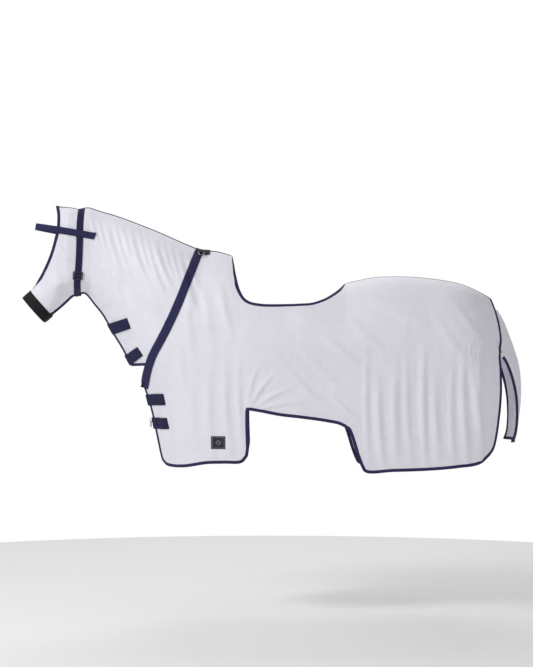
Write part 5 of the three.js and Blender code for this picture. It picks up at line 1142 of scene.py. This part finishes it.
def make_fittings():
    """Webbing and ring at the withers, ring at the chest, label, flank elastic and bar tacks."""
    x, y = np.linspace(-30, 32, 12)[:, None], np.linspace(-48, 48, 23)[None]
    p, n = over_top(x + 0 * y, y + 0 * x, LIFTS["wither_webbing"])
    ride_as(band_object("wither_webbing", np.swapaxes(p, 0, 1), np.swapaxes(grid_facing(p, n), 0, 1), 1.5,
                        finish_of("black")), "sheet", "black_webbing", "wither_strap")
    for name in ("wither", "chest"):
        ring_pieces(name)
    x, z = np.linspace(45, 107, 14)[:, None], np.linspace(-816, -872, 13)[None]
    p, n = skin(x + 0 * z, z + 0 * x, -1, LIFTS["label"])
    flat = np.stack(np.meshgrid(np.linspace(0, 1, 14), np.linspace(0, 1, 13), indexing="ij"), -1)
    label = mesh_object("woven_label", p, flat)
    if label.data.polygons[0].normal.y > 0:
        label.data.flip_normals()
    add_wall(label, 0.9 * MM)
    label.data.materials.append(finish_of("label"))
    ride_as(label, "sheet", "black_webbing", "label_patch")
    for side, sign in SIDES:
        x, z = np.linspace(1188, 1294, 40)[:, None], np.linspace(-442, -456, 5)[None]
        p, n = skin(x + 0 * z, z + 0 * x, sign, LIFTS["flank_elastic"])
        ride_as(band_object(f"{side}_flank_gather", p, n, 1.2, finish_of("flank")), "sheet", "white_mesh",
                f"{side}_flank_elastic")
        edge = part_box(f"{side}_bar_tack")
        x0, x1 = edge[0][0] / MM, edge[1][0] / MM
        x, z = np.linspace(x0, x1, 24)[:, None], np.linspace(-446, -452, 5)[None]
        ribbed = LIFTS["bar_tack"] + 0.35 * np.sin(np.arange(24) * np.pi / 2)[:, None]
        p, n = skin(x + 0 * z, z + 0 * x, sign, ribbed + 0 * z)
        ride_as(band_object(f"{side}_bar_tack_thread", p, n, 1.0, finish_of("thread")), "sheet", "red_thread",
                f"{side}_bar_tack")


# ---- stage -------------------------------------------------------------------------------------------------
def make_stage():
    """Pale floor, even air round it that looks white, soft lights from above and both sides, and the camera."""
    setup = bpy.context.scene.fly_sheet_studio
    turn, reach = np.linspace(0, 2 * np.pi, 73)[:, None], np.array([0.0, 3.4])[None]
    p = np.stack([0.3 + reach * np.cos(turn), reach * np.sin(turn), -1.62 + 0 * reach * turn], -1) / MM
    floor = mesh_object("studio_floor", p, np.zeros(p.shape[:2] + (2,)), closed=True)
    material = bpy.data.materials.new("studio_paper")
    material.use_nodes = True
    material.node_tree.nodes["Principled BSDF"].inputs["Base Color"].default_value = (0.93, 0.93, 0.93, 1)
    material.node_tree.nodes["Principled BSDF"].inputs["Roughness"].default_value = 0.9
    floor.data.materials.append(material)
    world = bpy.data.worlds.new("studio_air")
    world.use_nodes = True
    air = world.node_tree.nodes["Background"].inputs
    air["Color"].default_value = (1.0, 1.0, 1.0, 1)
    seen = world.node_tree.nodes.new("ShaderNodeLightPath").outputs["Is Camera Ray"]
    gain = math_node(world.node_tree, "MULTIPLY", seen, 1.0 - setup.ambient)
    world.node_tree.links.new(math_node(world.node_tree, "ADD", gain, setup.ambient), air["Strength"])
    bpy.context.scene.world = world
    for name, place, aim, size, power in (
            ("key", (-3.4, -2.6, 2.6), (0.3, 0, -0.4), 1.2, 120), ("fill", (2.4, -6.0, 0.6), (0.4, 0, -0.4), 3.0, 44),
            ("back", (0.5, 4.2, 3.4), (0.3, 0, -0.3), 3.5, 90)):
        lamp = bpy.data.lights.new(name, "AREA")
        lamp.size = size
        lamp.energy = power * setup.power
        obj = bpy.data.objects.new(name, lamp)
        obj.location = place
        way = Vector([a - b for a, b in zip(aim, place)])
        obj.rotation_euler = way.to_track_quat("-Z", "Y").to_euler()
        bpy.context.scene.collection.objects.link(obj)
    lens = bpy.data.cameras.new("camera")
    lens.lens = setup.lens
    lens.sensor_width = 36.0
    lens.clip_end = 100.0
    camera = bpy.data.objects.new("camera", lens)
    camera.location = (0.286, -setup.distance, -0.367)
    camera.rotation_euler = (np.pi / 2, 0.0, 0.0)
    bpy.context.scene.collection.objects.link(camera)
    bpy.context.scene.camera = camera
    bpy.context.scene.view_settings.view_transform = "Standard"


# ---- settings, operators and panel -------------------------------------------------------------------------
def colour_prop(name, description, rgb):
    """A colour setting, given as screen values from 0 to 255."""
    return bpy.props.FloatVectorProperty(name=name, description=description, subtype="COLOR_GAMMA", size=3, min=0,
                                         max=1, default=tuple(v / 255 for v in rgb))


class FlySheetColours(bpy.types.PropertyGroup):
    """Colours of the sheet's materials."""

    cloth: colour_prop("Cloth", "Mesh cloth", (236, 234, 243))
    # greyed tone of the cloth in use under random dust noise, and also the base of the painted shade in the knit's
    # holes
    cloth_grey_and_hole_shade: colour_prop("Cloth in use", "Greyed parts of the mesh cloth", (222, 220, 231))
    navy_tape: colour_prop("Tape", "Binding and tape", (36, 35, 76))
    navy_webbing: colour_prop("Webbing", "Closures and throat strap", (26, 27, 64))
    black_webbing: colour_prop("Black webbing", "Nose band, wither webbing and hook tape", (9, 9, 16))
    red_thread: colour_prop("Thread", "Bar tacks", (170, 42, 52))


def length_prop(name, description, default):
    """A length setting in metres."""
    return bpy.props.FloatProperty(name=name, description=description, default=default, min=0.0002, max=0.2,
                                   unit="LENGTH", subtype="DISTANCE", precision=4)


class FlySheetSizes(bpy.types.PropertyGroup):
    """Sizes of cloth, tapes and straps."""

    cloth_wall: length_prop("Cloth", "Thickness of the mesh cloth", 0.0012)
    top_tape: length_prop("Top tape", "Width of the tape over the top line", 0.025)
    neckline_band: length_prop("Neckline band", "Width of the tape over the neckline's seam", 0.038)
    strap: length_prop("Strap", "Width of the throat and brow straps", 0.03)
    fold_depth: bpy.props.FloatProperty(name="Folds", description="Factor on the height of every fold", default=2.1,
                                        min=0, max=4)


class FlySheetStudio(bpy.types.PropertyGroup):
    """Camera and light."""

    lens: bpy.props.FloatProperty(name="Lens", description="Focal length in millimetres", default=107.95, min=20)
    distance: bpy.props.FloatProperty(name="Distance", description="Camera to the sheet's middle plane", default=9.0,
                                      min=1, unit="LENGTH", subtype="DISTANCE")
    ambient: bpy.props.FloatProperty(name="Ambient", description="Strength of the light from all round", default=0.46,
                                     min=0)
    power: bpy.props.FloatProperty(name="Lamps", description="Factor on all lamps", default=1.0, min=0)


class FLYSHEET_OT_stage(bpy.types.Operator):
    """Builds the floor, lights and camera."""

    bl_idname = "fly_sheet.stage"
    bl_label = "Studio"
    bl_options = {"REGISTER", "UNDO"}

    def execute(self, context):
        """Runs the builder."""
        make_stage()
        return {"FINISHED"}


class FLYSHEET_OT_panels(bpy.types.Operator):
    """Builds the body, neck and head cloth."""

    bl_idname = "fly_sheet.panels"
    bl_label = "Cloth"
    bl_options = {"REGISTER", "UNDO"}

    def execute(self, context):
        """Runs the builder."""
        make_panels()
        return {"FINISHED"}


class FLYSHEET_OT_bindings(bpy.types.Operator):
    """Builds the bindings of every edge."""

    bl_idname = "fly_sheet.bindings"
    bl_label = "Bindings"
    bl_options = {"REGISTER", "UNDO"}

    def execute(self, context):
        """Runs the builder."""
        make_bindings()
        return {"FINISHED"}


class FLYSHEET_OT_tapes(bpy.types.Operator):
    """Builds the top line tapes and neckline bands."""

    bl_idname = "fly_sheet.tapes"
    bl_label = "Tapes"
    bl_options = {"REGISTER", "UNDO"}

    def execute(self, context):
        """Runs the builder."""
        make_tapes()
        return {"FINISHED"}


class FLYSHEET_OT_tail_flap(bpy.types.Operator):
    """Builds the tail flap and its binding."""

    bl_idname = "fly_sheet.tail_flap"
    bl_label = "Tail flap"
    bl_options = {"REGISTER", "UNDO"}

    def execute(self, context):
        """Runs the builder."""
        make_tail_flap()
        return {"FINISHED"}


class FLYSHEET_OT_throat_strap(bpy.types.Operator):
    """Builds the throat strap and finishes its slider."""

    bl_idname = "fly_sheet.throat_strap"
    bl_label = "Throat strap"
    bl_options = {"REGISTER", "UNDO"}

    def execute(self, context):
        """Runs the builder."""
        make_throat_strap()
        return {"FINISHED"}


class FLYSHEET_OT_brow_strap(bpy.types.Operator):
    """Builds the brow strap and its loose end."""

    bl_idname = "fly_sheet.brow_strap"
    bl_label = "Brow strap"
    bl_options = {"REGISTER", "UNDO"}

    def execute(self, context):
        """Runs the builder."""
        make_brow_strap()
        return {"FINISHED"}


class FLYSHEET_OT_nose_band(bpy.types.Operator):
    """Builds the elastic nose band and its tab."""

    bl_idname = "fly_sheet.nose_band"
    bl_label = "Nose band"
    bl_options = {"REGISTER", "UNDO"}

    def execute(self, context):
        """Runs the builder."""
        make_nose_band()
        return {"FINISHED"}


class FLYSHEET_OT_tabs(bpy.types.Operator):
    """Builds the four touch-tape closures."""

    bl_idname = "fly_sheet.tabs"
    bl_label = "Front closures"
    bl_options = {"REGISTER", "UNDO"}

    def execute(self, context):
        """Runs the builder."""
        make_tabs()
        return {"FINISHED"}


class FLYSHEET_OT_fittings(bpy.types.Operator):
    """Builds rings, keepers, label, elastic and bar tacks."""

    bl_idname = "fly_sheet.fittings"
    bl_label = "Fittings"
    bl_options = {"REGISTER", "UNDO"}

    def execute(self, context):
        """Runs the builder."""
        make_fittings()
        return {"FINISHED"}


OPERATORS = [
    FLYSHEET_OT_stage, FLYSHEET_OT_panels, FLYSHEET_OT_bindings, FLYSHEET_OT_tapes,
    FLYSHEET_OT_tail_flap, FLYSHEET_OT_throat_strap, FLYSHEET_OT_brow_strap, FLYSHEET_OT_nose_band,
    FLYSHEET_OT_tabs, FLYSHEET_OT_fittings,
]


class FLYSHEET_PT_panel(bpy.types.Panel):
    """The sheet's builders and settings."""

    bl_label = "Fly Sheet"
    bl_idname = "FLYSHEET_PT_panel"
    bl_space_type = "VIEW_3D"
    bl_region_type = "UI"
    bl_category = "Fly Sheet"

    def draw(self, context):
        """Lists the operators, then the colours and the studio settings."""
        for made in OPERATORS:
            self.layout.operator(made.bl_idname)
        scene = context.scene
        for settings in (scene.fly_sheet_sizes, scene.fly_sheet_colours, scene.fly_sheet_studio):
            box = self.layout.box()
            for name in settings.__annotations__:
                box.prop(settings, name)


CLASSES = [FlySheetSizes, FlySheetColours, FlySheetStudio, *OPERATORS, FLYSHEET_PT_panel]


def register():
    """Registers the classes and the scene's settings."""
    for cls in CLASSES:
        bpy.utils.register_class(cls)
    bpy.types.Scene.fly_sheet_sizes = bpy.props.PointerProperty(type=FlySheetSizes)
    bpy.types.Scene.fly_sheet_colours = bpy.props.PointerProperty(type=FlySheetColours)
    bpy.types.Scene.fly_sheet_studio = bpy.props.PointerProperty(type=FlySheetStudio)


def unregister():
    """Removes what register added."""
    del bpy.types.Scene.fly_sheet_studio
    del bpy.types.Scene.fly_sheet_colours
    del bpy.types.Scene.fly_sheet_sizes
    for cls in reversed(CLASSES):
        bpy.utils.unregister_class(cls)


def main():
    """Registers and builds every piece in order."""
    register()
    for made in OPERATORS:
        getattr(bpy.ops.fly_sheet, made.bl_idname.split(".")[1])()
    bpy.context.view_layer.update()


if __name__ == "__main__":
    main()
